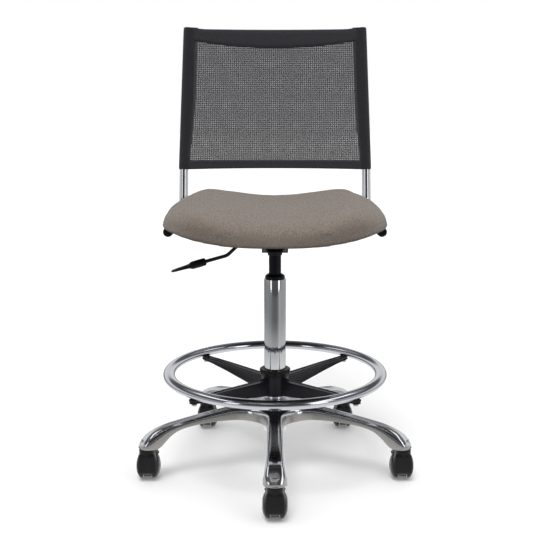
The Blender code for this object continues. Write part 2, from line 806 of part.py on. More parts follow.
def tube_plugs(parent):
    for name, side in (("tube_plug_left", -1), ("tube_plug_right", 1)):
        front = FRAME_CORNERS[0].copy()
        ahead = (FRAME_CORNERS[0] - FRAME_CORNERS[1]).normalized()
        front.x *= side
        ahead.x *= side
        profile = (
            (0, PLUG_LENGTH + GAP),
            (TUBE_R - PLUG_CHAMFER, PLUG_LENGTH + GAP),
            (TUBE_R, PLUG_LENGTH - PLUG_RIM),
            (TUBE_R, GAP),
            (PLUG_SPIGOT_R, GAP),
            (PLUG_SPIGOT_R, -PLUG_SPIGOT),
            (0, -PLUG_SPIGOT),
        )
        plug = turned(name, profile, 16, closed=False)
        plug.location = front
        plug.rotation_euler = ahead.to_track_quat("Z", "Y").to_euler()
        place(plug, BLACK_PLASTIC, parent)


def back_mesh(parent):
    """The stretched panel, in front of the crossbars and between the uprights."""
    shape = bmesh.new()
    columns, rows = 12, 6
    grid = []
    for j in range(rows + 1):
        z = MESH_BOTTOM_Z + (MESH_TOP_Z - MESH_BOTTOM_Z) * j / rows
        upright = frame_place(z)
        reach = upright.x - TUBE_R - 3 * GAP
        row = []
        for i in range(columns + 1):
            share = -1 + 2 * i / columns
            y = upright.y + bow(share) - CROSSBAR_R - MESH_THICK
            row.append(shape.verts.new((reach * share, y, z)))
        grid.append(row)
    for low, high in zip(grid, grid[1:]):
        for i in range(columns):
            shape.faces.new((low[i], low[i + 1], high[i + 1], high[i]))
    panel = from_bmesh("back_mesh", shape)
    skin = panel.modifiers.new("Thickness", "SOLIDIFY")
    skin.thickness = MESH_THICK
    skin.offset = 0.0
    return place(panel, BACK_FABRIC, parent)


# ---- foot ring ----


def spoke_end(degrees, z):
    return around(degrees) @ Vector((RING_R, 0, 0)) + Vector((0, 0, z))


def foot_ring(parent):
    bpy.ops.mesh.primitive_torus_add(
        major_radius=RING_R, minor_radius=RING_HALF_WIDE, major_segments=44, minor_segments=8
    )
    ring = bpy.context.object
    ring.name = "foot_ring"
    for holder in ring.users_collection:
        holder.objects.unlink(ring)
    flatten = Matrix.Diagonal((1, 1, RING_HALF_HIGH / RING_HALF_WIDE, 1))
    ring.data.transform(Matrix.Translation((0, 0, RING_Z)) @ flatten)
    ring.data.shade_smooth()
    for degrees in SPOKE_DEGS:
        low, high = spoke_end(degrees, RING_Z - 2 * OVERRUN), spoke_end(degrees, RING_Z)
        boolean(ring, as_cutter(cylinder(f"ring_hole_{degrees}", SPOKE_SCREW_R + PLAY, low, high, 12)))
    return place(ring, CHROME, parent)


def spoke(name, degrees):
    turn = around(degrees)
    rings = []
    for reach, wide, bottom in SPOKE_STATIONS:
        corners = ((-wide, bottom), (wide, bottom), (wide, SPOKE_TOP_Z), (-wide, SPOKE_TOP_Z))
        rings.append([turn @ Vector((reach, s, z)) for s, z in corners])
    return as_cutter(loft(name, rings))


def ring_hub(parent):
    profile = (
        (0, RING_HUB_TOP_Z),
        (RING_HUB_R, RING_HUB_TOP_Z),
        (RING_HUB_R, RING_HUB_BOTTOM_Z + RING_HUB_CHAMFER),
        (RING_HUB_R - RING_HUB_CHAMFER, RING_HUB_BOTTOM_Z),
        (0, RING_HUB_BOTTOM_Z),
    )
    hub = turned("ring_hub", profile, 24, closed=False)
    for degrees in SPOKE_DEGS:
        boolean(hub, spoke(f"spoke_{degrees}", degrees), "UNION")
    for degrees in SPOKE_DEGS:
        low, high = spoke_end(degrees, RING_HUB_BOTTOM_Z), spoke_end(degrees, RING_Z)
        boolean(hub, as_cutter(cylinder(f"spoke_hole_{degrees}", SPOKE_SCREW_R + PLAY, low, high, 12)))
    low, high = (0, 0, RING_HUB_BOTTOM_Z - OVERRUN), (0, 0, RING_HUB_TOP_Z + OVERRUN)
    boolean(hub, as_cutter(cylinder("ring_hub_bore", RING_HUB_BORE_R, low, high, 24)))
    return place(hub, BLACK_PLASTIC, parent)


def ring_collet(parent):
    """The split sleeve that grips the column."""
    inner, outer = COLUMN_R + GAP, RING_HUB_BORE_R - GAP
    high, low = COLLET_TOP_Z, COLLET_BOTTOM_Z
    profile = ((inner, high), (outer, high), (outer, low), (inner, low))
    collet = turned("ring_collet", profile, 24)
    near = (-COLLET_SLIT_HALF, 0, low - OVERRUN)
    far = (COLLET_SLIT_HALF, outer + OVERRUN, high + OVERRUN)
    boolean(collet, as_cutter(box("collet_split", near, far)))
    return place(collet, BLACK_PLASTIC, parent)


def ring_collar(parent):
    """The twist collar that locks the foot ring, notched for the fingers."""
    low = RING_HUB_TOP_Z + GAP
    profile = (
        (RING_HUB_BORE_R, COLLAR_TOP_Z),
        (COLLAR_R - COLLAR_CHAMFER, COLLAR_TOP_Z),
        (COLLAR_R, COLLAR_TOP_Z - COLLAR_CHAMFER),
        (COLLAR_R, low),
        (RING_HUB_BORE_R, low),
    )
    collar = turned("ring_collar", profile, 24)
    for i in range(COLLAR_NOTCHES):
        centre = around(360 * (i + 0.5) / COLLAR_NOTCHES) @ Vector((COLLAR_R + NOTCH_R - NOTCH_DEPTH, 0, 0))
        start = centre + Vector((0, 0, low - OVERRUN))
        end = centre + Vector((0, 0, COLLAR_TOP_Z + OVERRUN))
        boolean(collar, as_cutter(cylinder(f"collar_notch_{i + 1}", NOTCH_R, start, end, 6)))
    return place(collar, BLACK_PLASTIC, parent)


def spoke_screws(parent):
    profile = (
        (0, SPOKE_SCREW_TOP_Z),
        (SPOKE_SCREW_R, SPOKE_SCREW_TOP_Z),
        (SPOKE_SCREW_R, SPOKE_HEAD_TOP_Z),
        (SPOKE_HEAD_R, SPOKE_HEAD_TOP_Z),
        (SPOKE_HEAD_FLAT_R, SPOKE_HEAD_BOTTOM_Z),
        (0, SPOKE_HEAD_BOTTOM_Z),
    )
    mesh = turned_mesh("spoke_screw", profile, closed=False)
    for i, degrees in enumerate(SPOKE_DEGS):
        screw = add_screw(bpy.data.objects.new(f"spoke_screw_{i + 1}", mesh), 12)
        screw.location = spoke_end(degrees, 0)
        place(screw, STEEL, parent)


# ---- casters ----


def hood_point(axle, radius, degrees):
    """A point of the hood's side view: 0 degrees is its front, 90 its top."""
    angle = math.radians(degrees)
    return axle + Vector((0, -radius * math.cos(angle), radius * math.sin(angle)))


def hood_band(name, axle):
    """The guard round the front and top of both wheels."""
    rings = []
    steps = 9
    for i in range(steps + 1):
        degrees = HOOD_FRONT_DEG + (HOOD_REAR_DEG - HOOD_FRONT_DEG) * i / steps
        inner = hood_point(axle, HOOD_INNER_R, degrees)
        outer = hood_point(axle, HOOD_OUTER_R, degrees)
        across = Vector((HOOD_HALF_WIDTH, 0, 0))
        tuck = Vector((HOOD_TUCK, 0, 0))
        rings.append([inner - across, outer - across + tuck, outer + across - tuck, inner + across])
    return loft(name, rings)


def hood_web(name, axle):
    """The plate between the wheels, from the guard to the axle."""
    outline = []
    steps = 9
    for i in range(steps + 1):
        degrees = HOOD_FRONT_DEG + (HOOD_REAR_DEG - HOOD_FRONT_DEG) * i / steps
        outline.append(hood_point(axle, (HOOD_INNER_R + HOOD_OUTER_R) / 2, degrees))
    for i in range(7):
        outline.append(hood_point(axle, HOOD_WEB_R, HOOD_REAR_DEG + 20 + (139 * i) / 6))
    across = Vector((HOOD_WEB_HALF, 0, 0))
    return as_cutter(loft(name, [[p - across for p in outline], [p + across for p in outline]]))


def hood_neck(name, stem, axle):
    """The round boss for the stem, cleared where the wheels turn."""
    low, high = stem + Vector((0, 0, NECK_BOTTOM_Z)), stem + Vector((0, 0, NECK_TOP_Z))
    neck = as_cutter(cylinder(f"neck_{name}", NECK_R, low, high, 16))
    for side in (-1, 1):
        near = axle + Vector((side * HOOD_WEB_HALF, 0, 0))
        far = axle + Vector((side * (HOOD_HALF_WIDTH + OVERRUN), 0, 0))
        room = cylinder(f"wheel_room_{name}_{side + 1}", HOOD_INNER_R - GAP, near, far, 24)
        boolean(neck, as_cutter(room))
    return neck


def caster_hood(name, stem, axle, parent):
    hood = hood_band(f"caster_hood_{name}", axle)
    boolean(hood, hood_web(f"web_{name}", axle), "UNION")
    boolean(hood, hood_neck(name, stem, axle), "UNION")
    low = stem + Vector((0, 0, STEM_BOTTOM_Z - GAP))
    high = stem + Vector((0, 0, STEM_TOP_Z + OVERRUN))
    boolean(hood, as_cutter(cylinder(f"stem_hole_{name}", STEM_R + GAP, low, high, 16)))
    across = Vector((HOOD_HALF_WIDTH, 0, 0))
    boolean(hood, as_cutter(cylinder(f"axle_hole_{name}", AXLE_R + GAP, axle - across, axle + across, 12)))
    return place(hood, BLACK_PLASTIC, parent)


def caster_stem(name, stem, parent):
    profile = (
        (0, STEM_TOP_Z),
        (STEM_R - STEM_CHAMFER, STEM_TOP_Z),
        (STEM_R, STEM_TOP_Z - STEM_CHAMFER),
        (STEM_R, STEM_BOTTOM_Z),
        (0, STEM_BOTTOM_Z),
    )
    pin = turned(f"caster_stem_{name}", profile, 16, closed=False)
    pin.location = stem
    return place(pin, STEEL, parent)


def caster_axle(name, axle, parent):
    across = Vector((AXLE_HALF, 0, 0))
    return place(cylinder(f"caster_axle_{name}", AXLE_R, axle - across, axle + across, 10), STEEL, parent)


def wheel_profile():
    """A wheel's outline, from its closed outer face round the tread to the blind bore inside."""
    grow = 1 / math.cos(math.pi / WHEEL_SIDES)  # puts the flats, not the corners, at the radius
    return (
        (0.0, WHEEL_FACE_X),
        *((r * grow, x) for r, x in WHEEL_RIM),
        (WHEEL_BORE_R, WHEEL_INNER_X),
        (WHEEL_BORE_R, WHEEL_BORE_END_X),
        (0.0, WHEEL_BORE_END_X),
    )


def caster(index, name, base_pivot, wheel_mesh):
    stem = caster_place(index)
    axle = stem + Vector((0, CASTER_TRAIL, WHEEL_R))
    swivel = pivot(f"swivel_{name}", stem, base_pivot)
    caster_hood(name, stem, axle, swivel)
    caster_stem(name, stem, swivel)
    caster_axle(name, axle, swivel)
    for side, sign in (("left", -1), ("right", 1)):
        spin = pivot(f"spin_{name}_{side}", axle, swivel)
        wheel = add_screw(bpy.data.objects.new(f"wheel_{name}_{side}", wheel_mesh), WHEEL_SIDES)
        wheel.location = axle
        half_flat = math.pi / WHEEL_SIDES
        turn = Matrix.Rotation(sign * math.pi / 2, 3, "Y") @ Matrix.Rotation(half_flat, 3, "Z")
        wheel.rotation_euler = turn.to_euler()
        place(wheel, TREAD, spin)


def build():
    base = pivot("base_pivot", (0, 0, 0))
    base_star(base)
    column_tube(base)
    column_bush(base)
    thrust_bearing(base)
    spindle = pivot("spindle_pivot", (0, 0, COLUMN_BOTTOM_Z), base)
    rod_clip(spindle)
    piston_rod(spindle)
    piston(spindle)
    seat = pivot("seat_pivot", (0, 0, CYLINDER_TOP_Z), spindle)
    gas_cylinder(seat)
    taper_socket(seat)
    mechanism_channel(seat)
    mounting_plate(seat)
    seat_screws(seat)
    seat_pan(seat)
    seat_cushion(seat)
    back_frame(seat)
    tube_plugs(seat)
    back_mesh(seat)
    lever = pivot("lever_pivot", LEVER_PIVOT, seat)
    lever_rod(lever)
    lever_grip(lever)
    release_button(pivot("button_pivot", (0, 0, BUTTON_TOP_Z), seat))
    ring = pivot("ring_pivot", (0, 0, RING_Z), base)
    foot_ring(ring)
    ring_hub(ring)
    ring_collet(ring)
    spoke_screws(ring)
    ring_collar(pivot("collar_pivot", (0, 0, RING_HUB_TOP_Z), ring))
    wheel_mesh = turned_mesh("caster_wheel", wheel_profile(), closed=False)
    for i, name in enumerate(CASTER_NAMES):
        caster(i, name, base, wheel_mesh)


build()
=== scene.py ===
import math

import bmesh
import bpy
from mathutils import Matrix, Vector


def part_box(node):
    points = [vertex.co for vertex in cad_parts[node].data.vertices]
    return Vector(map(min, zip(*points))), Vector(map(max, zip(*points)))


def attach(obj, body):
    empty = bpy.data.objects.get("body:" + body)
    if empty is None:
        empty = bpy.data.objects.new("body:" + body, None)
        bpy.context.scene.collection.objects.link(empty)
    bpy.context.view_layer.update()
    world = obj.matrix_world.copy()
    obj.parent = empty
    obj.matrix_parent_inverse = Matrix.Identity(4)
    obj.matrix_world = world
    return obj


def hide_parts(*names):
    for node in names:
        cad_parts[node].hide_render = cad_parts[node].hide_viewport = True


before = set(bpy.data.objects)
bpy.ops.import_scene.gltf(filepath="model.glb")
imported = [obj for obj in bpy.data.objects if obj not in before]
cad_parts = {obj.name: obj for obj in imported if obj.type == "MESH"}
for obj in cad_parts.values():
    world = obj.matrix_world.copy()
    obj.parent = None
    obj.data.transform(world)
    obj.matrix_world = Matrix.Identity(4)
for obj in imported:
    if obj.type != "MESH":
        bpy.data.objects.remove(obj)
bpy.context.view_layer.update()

casterNames = ("front", "right", "rear_right", "rear_left", "left")


# Meshes

def turn(degrees):
    return Matrix.Rotation(math.radians(degrees), 3, "Z")


def newPiece(name, mesh, smoothAngle=40):
    mesh.shade_smooth()
    mesh.set_sharp_from_angle(angle=math.radians(smoothAngle))
    piece = bpy.data.objects.new(name, mesh)
    bpy.context.scene.collection.objects.link(piece)
    return piece


def fromShape(name, shape, smoothAngle=40):
    bmesh.ops.recalc_face_normals(shape, faces=shape.faces)
    mesh = bpy.data.meshes.new(name)
    shape.to_mesh(mesh)
    shape.free()
    return newPiece(name, mesh, smoothAngle)


def addRows(shape, rows, roundRow=True, roundAll=False, caps=True):
    # joins rows of points with faces: roundRow closes each row, roundAll joins the last row to the first
    grid = [[shape.verts.new(point) for point in row] for row in rows]
    pairs = list(zip(grid, grid[1:]))
    if roundAll:
        pairs.append((grid[-1], grid[0]))
    for low, high in pairs:
        count = len(low)
        for i in range(count if roundRow else count - 1):
            j = (i + 1) % count
            shape.faces.new((low[i], low[j], high[j], high[i]))
    if caps and roundRow and not roundAll:
        shape.faces.new(grid[0])
        shape.faces.new(grid[-1])
    return grid


def rowsPiece(name, rows, roundRow=True, roundAll=False, caps=True, smoothAngle=40):
    shape = bmesh.new()
    addRows(shape, rows, roundRow, roundAll, caps)
    return fromShape(name, shape, smoothAngle)


def latheRows(profile, sides, axis="Z", centre=(0, 0, 0)):
    # profile is a closed outline of (radius, height along the axis)
    rows = []
    for i in range(sides):
        angle = 2 * math.pi * i / sides
        row = []
        for radius, height in profile:
            if axis == "Z":
                point = (radius * math.cos(angle), radius * math.sin(angle), height)
            else:
                point = (height, radius * math.cos(angle), radius * math.sin(angle))
            row.append(Vector(point) + Vector(centre))
        rows.append(row)
    return rows


def lathePiece(name, profile, sides=64, axis="Z", centre=(0, 0, 0), smoothAngle=35):
    return rowsPiece(name, latheRows(profile, sides, axis, centre), roundAll=True, smoothAngle=smoothAngle)


def roundedProfile(profile, radius, steps=3):
    # a closed outline whose corners are cut to small arcs
    made = []
    count = len(profile)
    for i in range(count):
        before, corner, after = (Vector(profile[(i + k) % count]) for k in (-1, 0, 1))
        size = min(radius, 0.45 * (before - corner).length, 0.45 * (after - corner).length)
        first = corner + (before - corner).normalized() * size
        last = corner + (after - corner).normalized() * size
        for k in range(steps + 1):
            share = k / steps
            made.append(tuple(first.lerp(corner, share).lerp(corner.lerp(last, share), share)))
    return made


def pipe(name, points, radius, sides=24):
    # a round tube along a path, its section kept from twisting
    rows = []
    side = None
    for i, at in enumerate(points):
        ahead = (points[min(i + 1, len(points) - 1)] - points[max(i - 1, 0)]).normalized()
        if side is None:
            side = ahead.orthogonal().normalized()
        side = (side - ahead * side.dot(ahead)).normalized()
        up = ahead.cross(side)
        angles = [2 * math.pi * k / sides for k in range(sides)]
        rows.append([at + (side * math.cos(a) + up * math.sin(a)) * radius for a in angles])
    return rowsPiece(name, rows)


def filleted(corners, radii, steps=14):
    points = [corners[0]]
    for before, corner, after, radius in zip(corners, corners[1:], corners[2:], radii):
        back = (before - corner).normalized()
        ahead = (after - corner).normalized()
        half = back.angle(ahead) / 2
        centre = corner + (back + ahead).normalized() * (radius / math.sin(half))
        first = corner + back * (radius / math.tan(half)) - centre
        last = corner + ahead * (radius / math.tan(half)) - centre
        for i in range(steps + 1):
            points.append(centre + first.slerp(last, i / steps).normalized() * radius)
    points.append(corners[-1])
    return points


def subdivide(piece, levels):
    modifier = piece.modifiers.new("Smooth", "SUBSURF")
    modifier.levels = modifier.render_levels = levels
    return piece


def bevel(piece, width, segments=2, degrees=35):
    modifier = piece.modifiers.new("Edges", "BEVEL")
    modifier.width = width
    modifier.segments = segments
    modifier.limit_method = "ANGLE"
    modifier.angle_limit = math.radians(degrees)
    modifier.harden_normals = False
    return piece


def smoothStep(low, high, value):
    share = max(0.0, min(1.0, (value - low) / (high - low)))
    return share * share * (3 - 2 * share)


def between(stations, reach):
    # the other values of a station at this reach, on a smooth curve through the stations
    for i in range(len(stations) - 1):
        if reach <= stations[i + 1][0] or i == len(stations) - 2:
            break
    before, low, high = stations[max(i - 1, 0)], stations[i], stations[i + 1]
    after = stations[min(i + 2, len(stations) - 1)]
    t = (reach - low[0]) / (high[0] - low[0])
    span = high[0] - low[0]
    values = []
    for k in range(1, len(low)):
        slopeLow = (high[k] - before[k]) / max(high[0] - before[0], 1e-6) * span
        slopeHigh = (after[k] - low[k]) / max(after[0] - low[0], 1e-6) * span
        values.append(
            (2 * t ** 3 - 3 * t ** 2 + 1) * low[k] + (t ** 3 - 2 * t ** 2 + t) * slopeLow
            + (3 * t ** 2 - 2 * t ** 3) * high[k] + (t ** 3 - t ** 2) * slopeHigh
        )
    return values


# Materials

def newFinish(name, metallic, roughness):
    finish = bpy.data.materials.new(name)
    finish.use_nodes = True
    shader = finish.node_tree.nodes["Principled BSDF"]
    shader.inputs["Metallic"].default_value = metallic
    shader.inputs["Roughness"].default_value = roughness
    return finish, finish.node_tree, shader


def add(tree, kind, values=(), **settings):
    # a node with these settings and input values
    node = tree.nodes.new(kind)
    for key, value in settings.items():
        setattr(node, key, value)
    for socket, value in dict(values).items():
        node.inputs[socket].default_value = value
    return node


def placeIn(tree, stretch=(1, 1, 1)):
    # a point of the piece in metres, stretched
    coordinates = add(tree, "ShaderNodeTexCoord")
    mapping = add(tree, "ShaderNodeMapping", {"Scale": stretch})
    tree.links.new(coordinates.outputs["Object"], mapping.inputs["Vector"])
    return mapping.outputs["Vector"]


def noise(tree, scale, detail=3.0, stretch=(1, 1, 1)):
    node = add(tree, "ShaderNodeTexNoise", {"Scale": scale, "Detail": detail})
    tree.links.new(placeIn(tree, stretch), node.inputs["Vector"])
    return node.outputs["Fac"]


def remap(tree, value, low, high, fromLow=0.3, fromHigh=0.7):
    node = add(tree, "ShaderNodeMapRange", {1: fromLow, 2: fromHigh, 3: low, 4: high})
    tree.links.new(value, node.inputs[0])
    return node.outputs[0]


def mixColors(tree, factor, first, second):
    node = add(tree, "ShaderNodeMix", data_type="RGBA")
    tree.links.new(factor, node.inputs[0])
    for socket, color in ((node.inputs[6], first), (node.inputs[7], second)):
        if isinstance(color, tuple):
            socket.default_value = (*color, 1)
        else:
            tree.links.new(color, socket)
    return node.outputs[2]


def math2(tree, operation, first, second):
    node = add(tree, "ShaderNodeMath", operation=operation)
    for socket, value in ((node.inputs[0], first), (node.inputs[1], second)):
        if isinstance(value, (int, float)):
            socket.default_value = value
        else:
            tree.links.new(value, socket)
    return node.outputs[0]


def bump(tree, shader, height, distance, strength=1.0):
    node = add(tree, "ShaderNodeBump", {"Distance": distance, "Strength": strength})
    tree.links.new(height, node.inputs["Height"])
    tree.links.new(node.outputs["Normal"], shader.inputs["Normal"])


metalLook = {
    "cloudScale": 14.0,
    "clouded": 0.92,  # color share of the cloudy places
    "wallFacing": (0.10, 0.26),  # a face that looks up less than this is a wall
    "satinRough": 0.26,
}


def metalFinish(name, color, roughness, grainScale, grainStretch=(1, 1, 1), bumpDepth=0.0, satin=None):
    # plated or polished metal: faint cloudiness, fine wiping marks, and rougher where it is handled
    # satin, if given, is the color of the walls that were cast and not polished
    finish, tree, shader = newFinish(name, 1.0, roughness)
    cloud = noise(tree, metalLook["cloudScale"])
    marks = noise(tree, grainScale, 4.0, grainStretch)
    darker = tuple(metalLook["clouded"] * c for c in color)
    tone = mixColors(tree, cloud, darker, color)
    if satin:
        facing = add(tree, "ShaderNodeNewGeometry")
        split = add(tree, "ShaderNodeSeparateXYZ")
        tree.links.new(facing.outputs["Normal"], split.inputs[0])
        wall = math2(tree, "SUBTRACT", 1.0, remap(tree, split.outputs[2], 0, 1, *metalLook["wallFacing"]))
        tone = mixColors(tree, wall, tone, satin)
    tree.links.new(tone, shader.inputs["Base Color"])
    rough = math2(
        tree, "ADD",
        remap(tree, marks, 0.75 * roughness, 1.3 * roughness),
        remap(tree, cloud, 0.0, 0.35 * roughness),
    )
    if satin:
        rough = math2(tree, "ADD", rough, math2(tree, "MULTIPLY", wall, metalLook["satinRough"]))
    tree.links.new(rough, shader.inputs["Roughness"])
    if bumpDepth:
        bump(tree, shader, marks, bumpDepth)
    return finish


plasticLook = {
    "cloudScale": 22.0,
    "rubbed": 1.5,  # how many times paler the rubbed places are
    "rubbedLift": 0.002,
    "roughSpread": 0.07,
    "specular": 0.24,
}


def plasticFinish(name, color, roughness, grainDepth, grainScale=1500.0):
    # moulded nylon: a fine spark-eroded grain, slightly paler where it is rubbed
    finish, tree, shader = newFinish(name, 0.0, roughness)
    cloud = noise(tree, plasticLook["cloudScale"])
    grain = noise(tree, grainScale, 2.0)
    paler = tuple(plasticLook["rubbed"] * c + plasticLook["rubbedLift"] for c in color)
    spread = plasticLook["roughSpread"]
    tree.links.new(mixColors(tree, remap(tree, cloud, 0, 1), color, paler), shader.inputs["Base Color"])
    tree.links.new(remap(tree, grain, roughness - spread, roughness + spread), shader.inputs["Roughness"])
    shader.inputs["Specular IOR Level"].default_value = plasticLook["specular"]
    bump(tree, shader, grain, grainDepth)
    return finish


def weaveHeight(tree, first, second, pitch):
    # over-and-under threads along two directions
    turns = math.pi / pitch
    ridges = []
    for along in (first, second):
        wave = math2(tree, "SINE", math2(tree, "MULTIPLY", along, turns), 0)
        ridges.append(math2(tree, "ABSOLUTE", wave, 0))
    return math2(tree, "MULTIPLY", *ridges)


def wovenHeight(tree, pitch):
    # the weave on faces that look up, forward and sideways, blended by which way the face looks
    split = add(tree, "ShaderNodeSeparateXYZ")
    tree.links.new(placeIn(tree), split.inputs[0])
    geometry = add(tree, "ShaderNodeTexCoord")
    facing = add(tree, "ShaderNodeSeparateXYZ")
    tree.links.new(geometry.outputs["Normal"], facing.inputs[0])
    x, y, z = split.outputs
    sideways, forward, upward = facing.outputs
    total = None
    for normal, first, second in ((upward, x, y), (forward, x, z), (sideways, y, z)):
        share = math2(tree, "MULTIPLY", normal, normal)
        part = math2(tree, "MULTIPLY", share, weaveHeight(tree, first, second, pitch))
        total = part if total is None else math2(tree, "ADD", total, part)
    return total


clothLook = {
    "slubScale": 420.0,
    "broadScale": 9.0,
    "shaded": 0.86,  # how dark the worn places are, as a share of the mean yarn
    "worn": 0.3,
    "slubRise": 0.6,
    "sheen": 0.25,
    "sheenRough": 0.5,
    "specular": 0.25,
}


def clothFinish(name, dark, light, pitch, depth, roughness, slub=(1, 1, 1), slubShare=0.5):
    # woven cloth: two yarn shades, slubs along one direction and a raised weave
    finish, tree, shader = newFinish(name, 0.0, roughness)
    weave = wovenHeight(tree, pitch)
    slubs = noise(tree, clothLook["slubScale"], 4.0, slub)
    broad = noise(tree, clothLook["broadScale"])
    speckle = math2(
        tree, "ADD",
        math2(tree, "MULTIPLY", remap(tree, slubs, 0, 1, 0.33, 0.67), slubShare),
        math2(tree, "MULTIPLY", weave, 1 - slubShare),
    )
    yarn = mixColors(tree, speckle, dark, light)
    shade = tuple(0.5 * (a + b) * clothLook["shaded"] for a, b in zip(dark, light))
    worn = math2(tree, "MULTIPLY", remap(tree, broad, 0, 1), clothLook["worn"])
    tree.links.new(mixColors(tree, worn, yarn, shade), shader.inputs["Base Color"])
    shader.inputs["Sheen Weight"].default_value = clothLook["sheen"]
    shader.inputs["Sheen Roughness"].default_value = clothLook["sheenRough"]
    shader.inputs["Specular IOR Level"].default_value = clothLook["specular"]
    height = math2(tree, "ADD", weave, math2(tree, "MULTIPLY", slubs, clothLook["slubRise"]))
    bump(tree, shader, height, depth)
    return finish


finishes = {
    "chrome": metalFinish("chrome plate", (0.76, 0.77, 0.79), 0.055, 900.0, (1, 1, 0.15)),
    "ringChrome": metalFinish("foot ring chrome", (0.64, 0.65, 0.70), 0.09, 700.0),
    "aluminium": metalFinish(
        "polished aluminium", (0.70, 0.71, 0.74), 0.085, 240.0, satin=(0.40, 0.385, 0.365)
    ),
    "steel": metalFinish("zinc plated steel", (0.52, 0.53, 0.55), 0.32, 600.0, bumpDepth=0.00004),
    "blackSteel": plasticFinish("black powder coat", (0.014, 0.014, 0.016), 0.32, 0.00006, 1100.0),
    "gasBlack": plasticFinish("black enamel", (0.008, 0.009, 0.014), 0.16, 0.00001, 400.0),
    "nylon": plasticFinish("textured black nylon", (0.003, 0.003, 0.0035), 0.32, 0.00003),
    "spider": plasticFinish("glass filled nylon", (0.006, 0.006, 0.010), 0.30, 0.00004, 1200.0),
    "tread": plasticFinish("hard black wheel", (0.005, 0.005, 0.006), 0.22, 0.00002, 900.0),
    "seatCloth": clothFinish(
        "taupe upholstery", (0.140, 0.113, 0.092), (0.322, 0.272, 0.232), 0.0022, 0.0006, 0.9,
        slub=(0.9, 0.16, 0.9), slubShare=0.60,
    ),
    "undercloth": clothFinish(
        "black undercloth", (0.010, 0.010, 0.011), (0.03, 0.03, 0.032), 0.0012, 0.0003, 0.95
    ),
    "border": clothFinish(
        "charcoal binding", (0.014, 0.014, 0.018), (0.050, 0.050, 0.060), 0.0011, 0.0003, 0.85,
        slub=(1.2, 1.2, 0.4), slubShare=0.35,
    ),
    # the sleeves are the same charcoal binding as the borders, made darker here: painted shade for the
    # sides, which turn away from the light
    "sleeve": clothFinish(
        "sleeve cloth darkened as painted shade", (0.009, 0.009, 0.012), (0.030, 0.030, 0.037), 0.0011, 0.0003, 0.85,
        slub=(1.2, 1.2, 0.4), slubShare=0.35,
    ),
    "thread": clothFinish(
        "charcoal mesh yarn", (0.030, 0.030, 0.033), (0.085, 0.085, 0.090), 0.0007, 0.0001, 0.7,
        slubShare=0.6,
    ),
    "stitch": clothFinish(
        "dark sewing thread", (0.020, 0.020, 0.023), (0.060, 0.060, 0.066), 0.0005, 0.0001, 0.8
    ),
}


def fit(piece, body, finish, slotName, *nodes):
    # gives a piece its finish and its body, and hides the CAD nodes that it stands for
    piece.data.materials.clear()
    piece.data.materials.append(finishes[finish])
    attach(piece, body)
    if nodes:
        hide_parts(*nodes)
    return piece


def finishNode(node, finish, edge=0.0):
    # a CAD node that stays, with a better material and softened edges
    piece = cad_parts[node]
    piece.data.materials.clear()
    piece.data.materials.append(finishes[finish])
    if edge:
        bevel(piece, edge)
    return piece


# Studio

studio = {
    "cameraPlace": (0.0, -2.036, 0.832),
    "cameraTilt": 10.509,  # degrees below the horizon
    "lens": 58.54,
    "shift": 0.0045,
    "floorSize": 60.0,
    "floorColor": (0.88, 0.88, 0.885),
    "floorGlow": 0.12,
    "floorShade": 0.985,  # color share of the floor's darker places
    "domeR": 9.0,
    "backdropR": 34.0,
    "mirrorFloorHalf": 9.0,
    "mirrorFloorZ": 0.0006,
    "mirrorNear": (0.15, 2.6),  # metres from the chair over which the mirrored floor darkens
    "mirrorSides": 0.33,
    "keyDirection": (0.14, 0.50, -0.95),
    "keyAngle": 24,
    "keyStrength": 1.30,
    "fillPlace": (2.2, -1.8, 2.4),
    "fillTarget": (0, 0, 0.4),
    "fillSize": 1.6,
    "fillPower": 8,
}
# light that falls on cloth, by height of the direction it comes from
skyStops = ((0.0, 0.14), (0.42, 0.26), (0.50, 0.42), (0.72, 0.74), (1.0, 0.92))
# what the metal mirrors: by height, by how far behind, and the floor by distance and by side
roomStops = ((0.0, 0.50), (0.50, 0.52), (0.56, 0.82), (0.665, 0.82), (0.705, 0.14), (0.79, 0.10),
             (0.84, 0.34), (0.90, 0.10), (1.0, 0.04))
frontStops = ((0.0, 0.14), (0.10, 0.18), (0.30, 0.55), (0.50, 0.75), (0.75, 1.0), (1.0, 1.0))
floorStops = ((0.0, 0.95), (0.20, 0.85), (0.42, 0.42), (0.75, 0.19), (1.0, 0.13))
sideStops = ((0.0, 0.50), (0.16, 0.30), (0.30, 0.08), (0.50, 0.0), (0.72, 0.08), (0.86, 1.0), (1.0, 0.85))
# glossy-only soft boxes: low corner, high corner, brightness
cards = {
    "cardLeftBox": ((-2.6, -2.3, 0.3), (-2.0, -2.9, 2.4), 1.5),
    "cardRightBox": ((2.0, -2.9, 0.3), (2.7, -2.2, 2.4), 1.7),
    "cardTopLeft": ((-2.4, -1.4, 3.0), (-1.7, 1.6, 3.0), 1.6),
    "cardTopRight": ((1.7, -1.4, 3.0), (2.4, 1.6, 3.0), 1.6),
}


def makeCamera():
    lens = bpy.data.cameras.new("camera")
    lens.lens = studio["lens"]
    lens.sensor_width = 36.0
    lens.shift_x = studio["shift"]
    eye = bpy.data.objects.new("camera", lens)
    bpy.context.scene.collection.objects.link(eye)
    eye.location = studio["cameraPlace"]
    eye.rotation_euler = (math.radians(90 - studio["cameraTilt"]), 0, 0)
    bpy.context.scene.camera = eye


def showOnlyTo(piece, camera=False, glossy=False, shadow=False):
    piece.visible_camera = camera
    piece.visible_glossy = glossy
    piece.visible_shadow = shadow
    piece.visible_diffuse = False
    piece.visible_transmission = False
    piece.visible_volume_scatter = False


